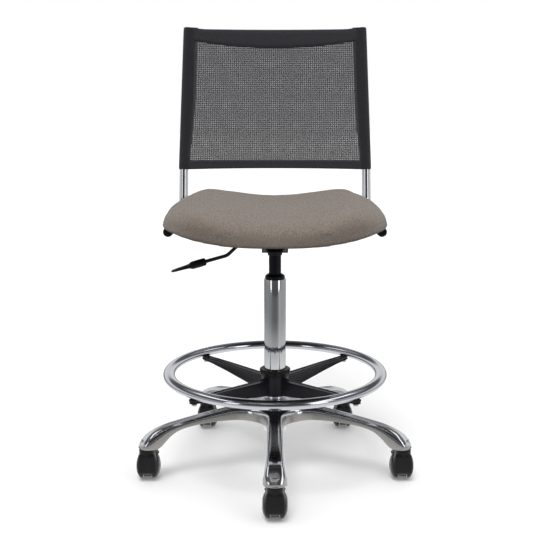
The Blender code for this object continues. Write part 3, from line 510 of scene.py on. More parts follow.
def makeFloor():
    # the floor takes shadows, and sends no light of its own back up
    half = studio["floorSize"] / 2
    corners = [[Vector((x, y, 0)) for x in (-half, half)] for y in (-half, half)]
    floor = rowsPiece("floor", corners, roundRow=False)
    finish, tree, shader = newFinish("pale floor", 0.0, 0.7)
    shade = tuple(studio["floorShade"] * c for c in studio["floorColor"])
    tone = mixColors(tree, noise(tree, 0.8), shade, studio["floorColor"])
    tree.links.new(tone, shader.inputs["Base Color"])
    shader.inputs["Specular IOR Level"].default_value = 0.0
    shader.inputs["Emission Color"].default_value = (1, 1, 1, 1)
    shader.inputs["Emission Strength"].default_value = studio["floorGlow"]
    floor.data.materials.append(finish)
    showOnlyTo(floor, camera=True, shadow=True)


def ramp(tree, value, stops):
    node = add(tree, "ShaderNodeValToRGB")
    elements = node.color_ramp.elements
    while len(elements) < len(stops):
        elements.new(0.5)
    for element, (place, level) in zip(elements, stops):
        element.position = place
        element.color = (level, level, level, 1)
    tree.links.new(value, node.inputs[0])
    return node.outputs[0]


def glowFinish(name, strength=1.0):
    finish = bpy.data.materials.new(name)
    finish.use_nodes = True
    tree = finish.node_tree
    tree.nodes.remove(tree.nodes["Principled BSDF"])
    glow = add(tree, "ShaderNodeEmission", {"Color": (strength, strength, 1.02 * strength, 1)})
    tree.links.new(glow.outputs[0], tree.nodes["Material Output"].inputs["Surface"])
    return finish, tree, glow


def makeDome(name, radius):
    shape = bmesh.new()
    bmesh.ops.create_uvsphere(shape, u_segments=48, v_segments=24, radius=radius)
    return fromShape(name, shape, 180)


def directionOf(tree):
    coordinates = add(tree, "ShaderNodeTexCoord")
    unit = add(tree, "ShaderNodeVectorMath", operation="NORMALIZE")
    split = add(tree, "ShaderNodeSeparateXYZ")
    tree.links.new(coordinates.outputs["Object"], unit.inputs[0])
    tree.links.new(unit.outputs[0], split.inputs[0])
    return split.outputs


def makeBackdrop():
    # plain white behind the chair from every side
    dome = makeDome("backdrop", studio["backdropR"])
    dome.data.materials.append(glowFinish("white backdrop")[0])
    showOnlyTo(dome, camera=True)


def blend(tree, kind, first, second):
    # two colors blended in full; a number stands for a gray
    node = add(tree, "ShaderNodeMix", data_type="RGBA", blend_type=kind)
    node.inputs[0].default_value = 1.0
    for socket, value in ((node.inputs[6], first), (node.inputs[7], second)):
        if isinstance(value, float):
            socket.default_value = (value, value, value, 1)
        else:
            tree.links.new(value, socket)
    return node.outputs[2]


def makeRoom():
    # the room that the metal mirrors: pale behind, dark above and in front
    dome = makeDome("mirrorRoom", studio["domeR"])
    finish, tree, glow = glowFinish("mirror room")
    ahead, height = directionOf(tree)[1:]
    byHeight = ramp(tree, remap(tree, height, 0, 1, -1, 1), roomStops)
    byAhead = ramp(tree, remap(tree, ahead, 0, 1, -1, 1), frontStops)
    tree.links.new(blend(tree, "MULTIPLY", byHeight, byAhead), glow.inputs["Color"])
    dome.data.materials.append(finish)
    showOnlyTo(dome, glossy=True)


def makeMirrorFloor():
    # the floor that the metal mirrors: bright near the chair and to the right
    half = studio["mirrorFloorHalf"]
    rows = [[Vector((x, y, studio["mirrorFloorZ"])) for x in (-half, half)] for y in (-half, half)]
    floor = rowsPiece("mirrorFloor", rows, roundRow=False)
    finish, tree, glow = glowFinish("mirror floor")
    length = add(tree, "ShaderNodeVectorMath", operation="LENGTH")
    tree.links.new(placeIn(tree), length.inputs[0])
    near = ramp(tree, remap(tree, length.outputs[1], 0, 1, *studio["mirrorNear"]), floorStops)
    side = ramp(tree, remap(tree, directionOf(tree)[0], 0, 1, -1, 1), sideStops)
    sides = blend(tree, "MULTIPLY", side, studio["mirrorSides"])
    tree.links.new(blend(tree, "SCREEN", near, sides), glow.inputs["Color"])
    floor.data.materials.append(finish)
    showOnlyTo(floor, glossy=True)


def makeCard(name, low, high, brightness):
    low, high = Vector(low), Vector(high)
    size = high - low
    if size.z == 0:
        rows = [[low, low + Vector((size.x, 0, 0))], [low + Vector((0, size.y, 0)), high]]
    else:
        flat = Vector((size.x, size.y, 0))
        rows = [[low, low + flat], [low + Vector((0, 0, size.z)), high]]
    card = rowsPiece(name, rows, roundRow=False)
    card.data.materials.append(glowFinish(name, brightness)[0])
    showOnlyTo(card, glossy=True)


def makeWorld():
    # soft light from above, for everything that isn't a mirror
    world = bpy.data.worlds.new("studio")
    bpy.context.scene.world = world
    world.use_nodes = True
    tree = world.node_tree
    coordinates = add(tree, "ShaderNodeTexCoord")
    split = add(tree, "ShaderNodeSeparateXYZ")
    tree.links.new(coordinates.outputs["Generated"], split.inputs[0])
    sky = ramp(tree, remap(tree, split.outputs[2], 0, 1, -1, 1), skyStops)
    tree.links.new(sky, tree.nodes["Background"].inputs["Color"])


def makeLight(name, place, target, size, power):
    lamp = bpy.data.lights.new(name, "AREA")
    lamp.shape = "DISK"
    lamp.size = size
    lamp.energy = power
    light = bpy.data.objects.new(name, lamp)
    bpy.context.scene.collection.objects.link(light)
    light.location = place
    light.rotation_euler = (Vector(target) - Vector(place)).to_track_quat("-Z", "Y").to_euler()


def makeSun(name, direction, angle, strength):
    lamp = bpy.data.lights.new(name, "SUN")
    lamp.angle = math.radians(angle)
    lamp.energy = strength
    lamp.specular_factor = 0.0
    sun = bpy.data.objects.new(name, lamp)
    bpy.context.scene.collection.objects.link(sun)
    sun.rotation_euler = Vector(direction).to_track_quat("-Z", "Y").to_euler()


def makeStudio():
    makeCamera()
    makeFloor()
    makeBackdrop()
    makeRoom()
    makeMirrorFloor()
    makeWorld()
    for name, (low, high, brightness) in cards.items():
        makeCard(name, low, high, brightness)
    makeSun("keyLight", studio["keyDirection"], studio["keyAngle"], studio["keyStrength"])
    makeLight("fillLight", studio["fillPlace"], studio["fillTarget"], studio["fillSize"],
              studio["fillPower"])
    bpy.context.scene.view_settings.view_transform = "Standard"
    print("studio made")


makeStudio()


# Base

base = {
    # distance from the column, half width, top, underside
    "legStations": (
        (0.073, 0.0300, 0.1572, 0.1280),
        (0.090, 0.0216, 0.1562, 0.1290),
        (0.108, 0.0188, 0.1550, 0.1295),
        (0.140, 0.0176, 0.1500, 0.1298),
        (0.190, 0.0175, 0.1420, 0.1270),
        (0.235, 0.0185, 0.1335, 0.1185),
        (0.258, 0.0200, 0.1285, 0.1040),
        (0.281, 0.0234, 0.1212, 0.0822),
        (0.302, 0.0256, 0.1100, 0.0813),
        (0.3145, 0.0226, 0.0978, 0.0813),
        (0.3225, 0.0145, 0.0872, 0.0813),
    ),
    "legRows": 22,
    "webR": 0.0735,
    # where two legs meet: degrees from the leg, distance inside webR, height
    "webSection": (
        (36, 0.0, 0.1272),
        (36, 0.0, 0.1400),
        (36, 0.003, 0.1525),
        (36, 0.012, 0.1575),
        (18, 0.016, 0.1578),
        (0, 0.016, 0.1578),
    ),
    "innerR": 0.036,
    "wall": 0.0032,
    "hubR": 0.041,
    "hubBoreR": 0.0253,
    "hubZ": (0.1080, 0.1590),
    "bossR": 0.0125,
    "bossReach": 0.3055,
    "ribReaches": (0.105, 0.145, 0.185, 0.225, 0.262),
    "ribHalf": 0.0012,
}


def legRow(reach, half, top, under):
    # plain walls and a soft crown, which grows rounder over the caster
    high = top - under
    swell = smoothStep(0.255, 0.300, reach)
    side = [
        (half, under),
        (half, top - (0.60 + 0.10 * swell) * high),
        ((0.93 - 0.02 * swell) * half, top - (0.19 + 0.09 * swell) * high),
        ((0.66 - 0.02 * swell) * half, top + (0.01 - 0.06 * swell) * high),
        (0.33 * half, top + 0.005 * swell * high),
    ]
    left = [Vector((reach, -s, z)) for s, z in side]
    right = [Vector((reach, s, z)) for s, z in side]
    return left + [Vector((reach, 0, top))] + right[::-1]


def webRow():
    # the row where two legs meet, on the planes halfway between them
    reach = base["webR"]
    left = [turn(-a) @ Vector((reach - inset, 0, z)) for a, inset, z in base["webSection"]]
    right = [turn(a) @ Vector((reach - inset, 0, z)) for a, inset, z in base["webSection"][:-1]]
    return left + right[::-1]


def makeStar():
    shape = bmesh.new()
    for i in range(5):
        spin = turn(-90 + 72 * i)
        rows = [[spin @ p for p in webRow()]]
        first, last = base["legStations"][0][0], base["legStations"][-1][0]
        for k in range(base["legRows"] + 1):
            reach = first + (last - first) * k / base["legRows"]
            rows.append([spin @ p for p in legRow(reach, *between(base["legStations"], reach))])
        grid = addRows(shape, rows, roundRow=False)
        rim = Vector((base["innerR"], 0, base["webSection"][-1][2]))
        inner = [shape.verts.new(spin @ (turn(a) @ rim)) for a in (-36, -18, 0, 18, 36)]
        for k in range(4):
            shape.faces.new((inner[k], inner[k + 1], grid[0][k + 4], grid[0][k + 3]))
        end = grid[-1]
        for k in range(3):
            shape.faces.new((end[k], end[k + 1], end[9 - k], end[10 - k]))
        shape.faces.new(end[3:8])
    bmesh.ops.remove_doubles(shape, verts=shape.verts, dist=0.0002)
    star = fromShape("star_casting", shape, 60)
    subdivide(star, 3)
    shell = star.modifiers.new("Wall", "SOLIDIFY")
    shell.thickness = base["wall"]
    shell.offset = -1.0
    return fit(star, "base", "aluminium", "polished_aluminium", "base_star")


def makeHub():
    r, bore = base["hubR"], base["hubBoreR"]
    low, high = base["hubZ"]
    profile = [(bore, high), (r - 0.004, high), (r, high - 0.004), (r, low + 0.010), (r - 0.005, low),
               (bore, low)]
    hub = lathePiece("base_hub", roundedProfile(profile, 0.0022), 96)
    return fit(hub, "base", "aluminium", "polished_aluminium")


def makeLegInsides(name, index):
    # the socket boss and the cross ribs under a leg
    spin = turn(-90 + 72 * index)
    shape = bmesh.new()
    centre = spin @ Vector((base["bossReach"], 0, 0))
    r = base["bossR"]
    profile = roundedProfile([(0.0060, 0.0990), (r, 0.0990), (r, 0.0850), (0.0190, 0.0830),
                              (0.0190, 0.0815), (0.0060, 0.0815)], 0.0006)
    addRows(shape, latheRows(profile, 40, "Z", centre), roundAll=True)
    wide = base["ribHalf"]
    for reach in base["ribReaches"]:
        half, top, under = between(base["legStations"], reach)
        low, high = under + 0.004, top - 0.0045
        half -= 0.0042
        plan = [(reach - wide, -half), (reach + wide, -half), (reach + wide, half), (reach - wide, half)]
        addRows(shape, [[spin @ Vector((x, y, z)) for x, y in plan] for z in (low, high)])
    inside = fromShape("leg_inside_" + name, shape, 35)
    return fit(inside, "base", "aluminium", "polished_aluminium")


column = {
    # outlines of (radius, height)
    "tube": ((0.0222, 0.4525), (0.0250, 0.4525), (0.0250, 0.0880), (0.0046, 0.0880), (0.0046, 0.0905),
             (0.0222, 0.0905)),
    "bush": ((0.0144, 0.4630), (0.0160, 0.4638), (0.0196, 0.4618), (0.0228, 0.4588), (0.0228, 0.4528),
             (0.0218, 0.4528), (0.0218, 0.3720), (0.0144, 0.3720)),
}


def makeColumn():
    tube = lathePiece("column_sleeve", roundedProfile(column["tube"], 0.0012), 96)
    fit(tube, "base", "chrome", "chrome", "column_tube")
    bush = lathePiece("column_bush_cap", roundedProfile(column["bush"], 0.0008), 72)
    fit(bush, "base", "nylon", "black_plastic", "column_bush")
    finishNode("thrust_bearing", "steel", 0.0004)


def makeBase():
    makeStar()
    makeHub()
    for i, name in enumerate(casterNames):
        makeLegInsides(name, i)
    makeColumn()
    print("base made")


makeBase()


# Casters

caster = {
    "hoodInner": 0.0318,
    "hoodOuter": 0.0350,
    "hoodHalf": 0.0224,
    "webHalf": 0.0085,
    "browAhead": 0.0378,
    "browHigh": 0.0405,
    "browRound": 14,
    "hoodFrom": -14,
    "webFrom": -44,
    "hoodTo": 150,
    "neckR": 0.0175,
    "neckAhead": 0.020,  # the stem stands this far in front of the axle
    # outer face of the right wheel: distance from the axle, distance from the caster's middle
    "wheelFace": ((0.0300, 0.0140), (0.0290, 0.0174), (0.0268, 0.0198), (0.0225, 0.0226), (0.0175, 0.0249),
                  (0.0120, 0.0263), (0.0105, 0.0263), (0.0095, 0.0257), (0.0060, 0.0259), (0.0040, 0.0260)),
    "wheelInner": 0.0097,
    "wheelBoreR": 0.0040,
    "webR": 0.0325,
    "bossR": 0.012,
}


def axlePlace(name):
    low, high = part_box("caster_axle_" + name)
    return (low + high) / 2


def makeWheel(name, side):
    axle = axlePlace(name)
    sign = 1 if side == "right" else -1
    inner = caster["wheelInner"]
    face = [(r, sign * x) for r, x in caster["wheelFace"]]
    rear = ((caster["wheelBoreR"], 0.0), (0.0230, 0.0), (0.0245, 0.0012), (0.0275, 0.0012),
            (0.0292, 0.0004), (0.0300, 0.0012))
    back = [(r, sign * (inner + x)) for r, x in rear]
    wheel = lathePiece(f"twin_wheel_{name}_{side}", back + face, 72, "X", axle, 30)
    return fit(wheel, f"wheel_{name}_{side}", "tread", "tread", f"wheel_{name}_{side}")


def hoodReach(degrees):
    # distance of the hood's top from the axle: an arc, with a squared brow under the stem
    brow = smoothStep(-20, 15, degrees) * (1 - smoothStep(95, 128, degrees))
    angle = math.radians(max(5.0, min(130.0, degrees)))
    wall = caster["browAhead"] / max(math.cos(angle), 0.2)
    roof = caster["browHigh"] / math.sin(angle)
    corner = (wall ** -caster["browRound"] + roof ** -caster["browRound"]) ** (-1 / caster["browRound"])
    return caster["hoodOuter"] + max(0.0, corner - caster["hoodOuter"]) * brow


def hoodHalf(degrees):
    low = 0.0024 * (1 - smoothStep(-16, 30, degrees))
    brow = 0.0034 * smoothStep(38, 72, degrees) * (1 - smoothStep(100, 130, degrees))
    return caster["hoodHalf"] - low - brow - 0.0018 * smoothStep(125, 150, degrees)


def hoodRow(axle, degrees, pinch):
    half, inner, outer = hoodHalf(degrees), caster["hoodInner"], caster["hoodOuter"]
    lift = hoodReach(degrees) - outer
    row = []
    angle = math.radians(degrees)
    section = [(half - 0.0004, inner), (half, inner + 0.0010)]
    for k in range(21):
        share = 1 - k / 10
        x = share * half
        edge = 0.0026 * max(0.0, (abs(share) - 0.80) / 0.20) ** 2
        section.append((x, outer - edge + lift * (1 - abs(share) ** 5)))
    section += [(-half, inner + 0.0010), (-half + 0.0004, inner)]
    section += [(-0.5 * half, inner), (0, inner), (0.5 * half, inner)]
    middle = 0.5 * (inner + outer)
    for x, r in section:
        r = middle + (r - middle) * pinch
        row.append(axle + Vector((x, -r * math.cos(angle), r * math.sin(angle))))
    return row


def makeHood(name):
    axle = axlePlace(name)
    shape = bmesh.new()
    first, last = caster["hoodFrom"], caster["hoodTo"]
    steps = 60
    rows = []
    for i in range(steps + 1):
        pinch = 0.4 + 0.6 * smoothStep(-0.5, 2.0, min(i, steps - i))  # the ends are rounded over
        rows.append(hoodRow(axle, first + (last - first) * i / steps, pinch))
    addRows(shape, rows)
    web = []
    for i in range(31):
        angle = math.radians(caster["webFrom"] + (last - caster["webFrom"]) * i / 30)
        r = caster["webR"] - 0.0045 * (1 - smoothStep(-30, -12, math.degrees(angle)))
        web.append((-r * math.cos(angle), r * math.sin(angle)))
    for i in range(13):
        angle = math.radians(last + 20 + 139 * i / 12)
        web.append((-caster["bossR"] * math.cos(angle), caster["bossR"] * math.sin(angle)))
    half = caster["webHalf"]
    addRows(shape, [[axle + Vector((side, y, z)) for y, z in web] for side in (-half, half)])
    stem = axle - Vector((0, caster["neckAhead"], 0))
    stem.z = 0
    r = caster["neckR"]
    neck = roundedProfile([(0.0058, 0.0805), (r, 0.0805), (r, 0.0600), (0.0058, 0.0600)], 0.0006)
    addRows(shape, latheRows(neck, 64, "Z", stem), roundAll=True)
    hood = fromShape("twin_hood_" + name, shape, 38)
    return fit(hood, "caster_" + name, "nylon", "black_plastic", "caster_hood_" + name)


def makeCaster(name):
    makeHood(name)
    for side in ("left", "right"):
        makeWheel(name, side)
    finishNode("caster_stem_" + name, "steel", 0.0003)
    finishNode("caster_axle_" + name, "steel", 0.0003)


def makeCasters():
    for name in casterNames:
        makeCaster(name)
    print("casters made")


makeCasters()


# Foot ring

ring = {
    "r": 0.246,
    "halfWide": 0.0135,
    "halfHigh": 0.0105,
    "z": 0.2313,
    "hubR": 0.033,
    "spokeDegrees": (45, 135, 225, 315),
    # distance from the axis, half width, underside
    "spokeStations": ((0.029, 0.0108, 0.1800), (0.060, 0.0098, 0.1828), (0.090, 0.0090, 0.1870),
                      (0.160, 0.0080, 0.1990), (0.215, 0.0078, 0.2072), (0.236, 0.0080, 0.2095),
                      (0.2500, 0.0080, 0.2105), (0.2560, 0.0062, 0.2112), (0.2575, 0.0040, 0.2118)),
    "spokeTop": 0.2205,
    "spokeSag": 0.0035,
    "boreR": 0.0284,
    "hubZ": (0.1780, 0.2275),
    "tubeSides": 192,
    "collarR": 0.0357,
    "collarBoreR": 0.0286,
    "collarZ": (0.2279, 0.2394),
    "notches": 6,
    "ribs": 72,
}


def makeRingTube():
    rows = []
    for i in range(ring["tubeSides"]):
        angle = 2 * math.pi * i / ring["tubeSides"]
        out = Vector((math.cos(angle), math.sin(angle), 0))
        row = []
        for k in range(32):
            a = 2 * math.pi * k / 32
            reach = ring["r"] + ring["halfWide"] * math.cos(a)
            row.append(out * reach + Vector((0, 0, ring["z"] + ring["halfHigh"] * math.sin(a))))
        rows.append(row)
    tube = rowsPiece("ring_tube", rows, roundAll=True)
    return fit(tube, "ring", "ringChrome", "chrome", "foot_ring")


def spokeSection(reach, wide, under):
    # a tapered beam: a flat top with raised rims, a recessed side and a bead along the underside
    top = ring["spokeTop"] - ring["spokeSag"] * (1 - smoothStep(0.03, 0.20, reach))
    high = top - under
    side = [(wide - 0.0030, top - 0.0012), (wide - 0.0022, top), (wide - 0.0002, top), (wide, top - 0.0008),
            (wide, top - 0.0028), (wide - 0.0016, top - 0.0044), (wide - 0.0024, under + 0.30 * high),
            (wide - 0.0012, under + 0.0024), (wide - 0.0012, under + 0.0006), (wide - 0.0022, under)]
    return side + [(-s, z) for s, z in side[::-1]]


def makeSpider():
    shape = bmesh.new()
    r = ring["hubR"]
    bore = ring["boreR"]
    low, high = ring["hubZ"]
    outline = [(bore, high), (r, high), (r, high - 0.0050), (r - 0.0012, high - 0.0062),
               (r - 0.0012, low + 0.0060), (r, low + 0.0046), (r, low + 0.0016), (r - 0.0020, low),
               (bore, low)]
    addRows(shape, latheRows(roundedProfile(outline, 0.0007), 96), roundAll=True)
    for degrees in ring["spokeDegrees"]:
        spin = turn(degrees)
        rows = []
        for reach, wide, under in ring["spokeStations"]:
            rows.append([spin @ Vector((reach, s, z)) for s, z in spokeSection(reach, wide, under)])
        addRows(shape, rows)
    spider = fromShape("ring_spider", shape, 32)
    bevel(spider, 0.0004)
    return fit(spider, "ring", "spider", "black_plastic", "ring_hub")


def makeCollar():
    # a twist collar with six finger notches and fine ribs between them
    rows = []
    steps = 4 * ring["ribs"]
    bore = ring["collarBoreR"]
    low, high = ring["collarZ"]
    for i in range(steps):
        angle = 2 * math.pi * i / steps
        phase = (angle * ring["notches"] / (2 * math.pi) - 0.5) % 1.0
        off = abs(phase - 0.5) * 2  # 1 at a notch
        notch = 0.0024 * smoothStep(0.80, 0.97, off)
        rib = 0.00035 * (0.5 + 0.5 * math.cos(angle * ring["ribs"])) * (1 - smoothStep(0.70, 0.80, off))
        outer = ring["collarR"] - notch - rib
        profile = [(bore, high), (bore + 0.0050, high), (outer - 0.0010, high - 0.0005),
                   (outer, high - 0.0016), (outer, low + 0.0012), (outer - 0.0008, low), (bore, low)]
        rows.append([Vector((p * math.cos(angle), p * math.sin(angle), z)) for p, z in profile])
    collar = rowsPiece("ring_twist_collar", rows, roundAll=True, smoothAngle=50)
    return fit(collar, "collar", "nylon", "black_plastic", "ring_collar")


def makeRing():
    makeRingTube()
    makeSpider()
    makeCollar()
    finishNode("ring_collet", "spider", 0.0003)
    for i in range(4):
        finishNode(f"spoke_screw_{i + 1}", "steel", 0.0004)
    print("foot ring made")


makeRing()


# Height mechanism and lever

lever = {
    "rodR": 0.0041,
    "bends": ((0.004, 0.0, 0.550), (-0.062, 0.0, 0.550), (-0.1095, 0.0, 0.5056), (-0.1700, 0.0, 0.4885)),
    "bendR": 0.024,
    "neck": 0.15,
    "tip": (-0.2372, 0.0, 0.4681),
    # share of the grip's length, half width, half height
    "gripStations": (
        (0.00, 0.0052, 0.0056),
        (0.015, 0.0070, 0.0078),
        (0.05, 0.0080, 0.0088),
        (0.22, 0.0088, 0.0090),
        (0.38, 0.0092, 0.0088),
        (0.43, 0.0094, 0.0082),
        (0.47, 0.0096, 0.0058),
        (0.54, 0.0104, 0.0050),
        (0.70, 0.0122, 0.0042),
        (0.86, 0.0126, 0.0035),
        (0.95, 0.0114, 0.0029),
        (0.985, 0.0088, 0.0022),
        (1.00, 0.0050, 0.0012),
    ),
    "gripFrom": 0.80,  # share of the bar's last stretch where the grip starts
    "neckFrom": (-0.060, -0.050),
}


def makeLever():
    bends = [Vector(p) for p in lever["bends"]]
    rod = pipe("lever_bar", filleted(bends, (lever["bendR"],) * 2), lever["rodR"], 20)
    for v in rod.data.vertices:
        shrink = 1 - lever["neck"] * smoothStep(*lever["neckFrom"], v.co.x)  # thinner in the channel's wall
        v.co.y *= shrink
        v.co.z = bends[0].z + (v.co.z - bends[0].z) * shrink
    fit(rod, "lever", "blackSteel", "black_steel", "lever_rod")
    along = (Vector(lever["tip"]) - bends[2]).normalized()
    across = Vector((0, 1, 0))
    up = across.cross(along)
    start = bends[2].lerp(bends[3], lever["gripFrom"])
    length = (Vector(lever["tip"]) - start).length
    rows = []
    for share, wide, high in lever["gripStations"]:
        centre = start + along * (length * share)
        row = []
        for i in range(24):
            a = 2 * math.pi * i / 24
            c, s = math.cos(a), math.sin(a)
            square = 0.75 + 0.25 * smoothStep(0.34, 0.5, share)  # blockier at the socket
            x = math.copysign(abs(c) ** square, c)
            z = math.copysign(abs(s) ** square, s)
            row.append(centre + across * (wide * x) + up * (high * z))
        rows.append(row)
    grip = rowsPiece("lever_paddle", rows, smoothAngle=55)
    bevel(grip, 0.0004, 2, 40)
    fit(grip, "lever", "nylon", "black_plastic", "lever_grip")


gas = {
    # outlines of (radius, height)
    "cylinder": ((0.0034, 0.5350), (0.0135, 0.5350), (0.0140, 0.5200), (0.0140, 0.1350), (0.0054, 0.1350),
                 (0.0054, 0.1500), (0.0120, 0.1500), (0.0120, 0.5305), (0.0034, 0.5305)),
    "socket": ((0.0144, 0.5368), (0.0180, 0.5368), (0.0180, 0.5278), (0.0230, 0.5278), (0.0230, 0.5238),
               (0.0166, 0.5238), (0.0166, 0.5070), (0.0144, 0.5070)),
    "edge": 0.0006,
}


def makeGas():
    spring = lathePiece("gas_spring", roundedProfile(gas["cylinder"], gas["edge"]), 72)
    fit(spring, "seat", "gasBlack", "black_steel", "gas_cylinder")
    socket = lathePiece("taper_cup", roundedProfile(gas["socket"], gas["edge"]), 64)
    fit(socket, "seat", "blackSteel", "black_steel", "taper_socket")
    finishNode("piston_rod", "steel")
    finishNode("piston", "nylon")
    finishNode("rod_clip", "steel")
    finishNode("release_button", "steel", 0.0003)


def makeMechanism():
    makeGas()
    makeLever()
    finishNode("mechanism_channel", "blackSteel", 0.0006)
    finishNode("mounting_plate", "blackSteel", 0.0006)
    for i in range(4):
        finishNode(f"seat_screw_{i + 1}", "steel", 0.0004)
    print("mechanism made")


makeMechanism()


# Back frame

backFrame = {
    "tubeR": 0.011,
    "corners": (
        (0.2365, -0.055, 0.567),
        (0.2285, 0.2085, 0.567),
        (0.2275, 0.2340, 0.700),
        (0.2155, 0.2900, 1.031),
    ),
    "bendRs": (0.065, 0.40),
    "barR": 0.008,
    "lowerBarZ": 0.700,
    "upperBarZ": 1.012,
    "bow": 0.026,
    "plateYs": (-0.030, 0.115),
    "plateZ": (0.5745, 0.5785),
    "plateHalf": 0.015,
    "plateInset": 0.003,
    "plateWaist": 0.86,
}


def uprightAt(z):
    low, high = Vector(backFrame["corners"][2]), Vector(backFrame["corners"][3])
    return low.lerp(high, (z - low.z) / (high.z - low.z))


def bowAt(share):
    return backFrame["bow"] * (1 - min(1.0, abs(share)) ** 2)


def makeCrossPlate(name, y):
    half, reach = backFrame["plateHalf"], backFrame["corners"][0][0] - backFrame["plateInset"]
    low, high = backFrame["plateZ"]
    outline = []
    for x in (-reach, -0.5 * reach, 0.5 * reach, reach):
        outline.append((x, half if abs(x) == reach else backFrame["plateWaist"] * half))
    points = [(x, y - w) for x, w in outline] + [(x, y + w) for x, w in outline[::-1]]
    plate = rowsPiece(name, [[Vector((x, yy, z)) for x, yy in points] for z in (low, high)], smoothAngle=30)
    bevel(plate, 0.0008)
    return fit(plate, "seat", "blackSteel", "black_steel")


def makeBackFrame():
    corners = [Vector(p) for p in backFrame["corners"]]
    right = filleted(corners, backFrame["bendRs"], 24)
    for name, side in (("left", -1), ("right", 1)):
        points = [Vector((side * p.x, p.y, p.z)) for p in right]
        tube = pipe("back_tube_" + name, points, backFrame["tubeR"], 32)
        nodes = ["back_frame"] if side > 0 else []
        fit(tube, "seat", "chrome", "chrome", *nodes)
        finishNode("tube_plug_" + name, "nylon", 0.0004)
    for name, z in (("lower", backFrame["lowerBarZ"]), ("upper", backFrame["upperBarZ"])):
        end = uprightAt(z)
        shares = [-1 + 2 * i / 32 for i in range(33)]
        points = [Vector((end.x * s, end.y + bowAt(s), z)) for s in shares]
        fit(pipe("back_bar_" + name, points, backFrame["barR"], 20), "seat", "chrome", "chrome")
    for i, y in enumerate(backFrame["plateYs"]):
        makeCrossPlate(f"seat_cross_plate_{i + 1}", y)
    print("back frame made")


makeBackFrame()


# Back cloth

back = {
    "bottomZ": 0.6870,
    "topZ": 1.0310,
    "cornerRise": 0.0045,
    "sleeveIn": (0.0130, 0.0226),  # from the upright's centre to the sleeve's inner edge, low and high
    "ahead": 0.0085,  # the mesh runs this far in front of the bars' centres
    "pitch": 0.0026,
    "threadShare": 0.705,  # of the pitch
    "pairing": 0.13,  # how far every second thread leans to its neighbour, as a share of the pitch
    "borderThick": 0.0016,
    "topHemZ": 1.0035,
    "topHemDip": 0.0185,
    "bottomHemZ": 0.7085,
    "bottomHemDip": 0.001,
    "levelFrom": 0.704,  # the first and last level threads' heights
    "levelTo": 1.006,
    "overlap": 0.004,  # how far the upright threads run under the borders
    "threadCrown": 0.0003,
    "meshMiddle": 0.85,
    "meshHeight": 0.298,
    "meshShare": 0.92,
    "borderReach": 1.035,
    "wrapR": 0.0100,
    "wrapTurns": (35, 5, -25, -55, -85),
    "sleeveTopZ": 1.0335,
    "seamInset": 0.0030,
    "seamFrom": 0.712,
    "seamRun": 0.286,
    "stitchStep": 0.0036,
    "stitchLength": 0.0025,
    "stitchR": 0.00035,
}


def backPoint(share, z, ahead):
    # a point of the stretched back: share is -1 at the left upright and 1 at the right
    upright = uprightAt(z)
    return Vector((upright.x * share, upright.y + bowAt(share) - ahead, z))


def sleeveAt(z):
    low, high = back["sleeveIn"]
    return low + (high - low) * smoothStep(0.66, 0.86, z)


def innerShare(z):
    return 1 - sleeveAt(z) / uprightAt(z).x


def topHem(share):
    # lower edge of the top border, deeper in the middle
    return back["topHemZ"] - back["topHemDip"] * (1 - share * share)


def bottomHem(share):
    return back["bottomHemZ"] - back["bottomHemDip"] * (1 - share * share)


def addRibbon(shape, points, across):
    # a thread: flat edges and a slightly raised middle
    half = back["pitch"] * back["threadShare"] / 2
    crown = Vector((0, -back["threadCrown"], 0))
    rows = [[p - across * half, p + crown, p + across * half] for p in points]
    addRows(shape, rows, roundRow=False)


def addUprightThreads(shape):
    width = uprightAt(back["meshMiddle"]).x
    count = int(2 * width / back["pitch"])
    for i in range(count + 1):
        share = -1 + 2 * (i + back["pairing"] * (i % 2)) / count
        if abs(share) > innerShare(0.7) + 0.02:
            continue
        low, high = bottomHem(share) - back["overlap"], topHem(share) + back["overlap"]
        heights = [low + (high - low) * k / 14 for k in range(15)]
        points = [backPoint(share, z, back["ahead"] + 0.0003) for z in heights]
        addRibbon(shape, points, Vector((1, 0, 0)))


def addLevelThreads(shape):
    # near the top the hem hides a thread's middle, so it is made in two runs
    levels = int((back["levelTo"] - back["levelFrom"]) / back["pitch"])
    for j in range(levels + 1):
        z = back["levelFrom"] + back["pitch"] * (j + back["pairing"] * (j % 2))
        reach = innerShare(z) + 0.015
        shares = [-reach + 2 * reach * i / 40 for i in range(41)]
        inside = [s for s in shares if topHem(s) + 0.003 > z]
        runs = [inside]
        if len(inside) < len(shares):
            runs = [[s for s in inside if s < 0], [s for s in inside if s > 0]]
        for run in runs:
            if len(run) < 2:
                continue
            addRibbon(shape, [backPoint(s, z, back["ahead"] - 0.0002) for s in run], Vector((0, 0, 1)))


def makeMesh():
    # real threads: upright ones in front, level ones just behind
    shape = bmesh.new()
    addUprightThreads(shape)
    addLevelThreads(shape)
    mesh = bpy.data.meshes.new("back_weave")
    shape.to_mesh(mesh)
    shape.free()
    weave = newPiece("back_weave", mesh, 180)
    return fit(weave, "seat", "thread", "back_fabric", "back_mesh")


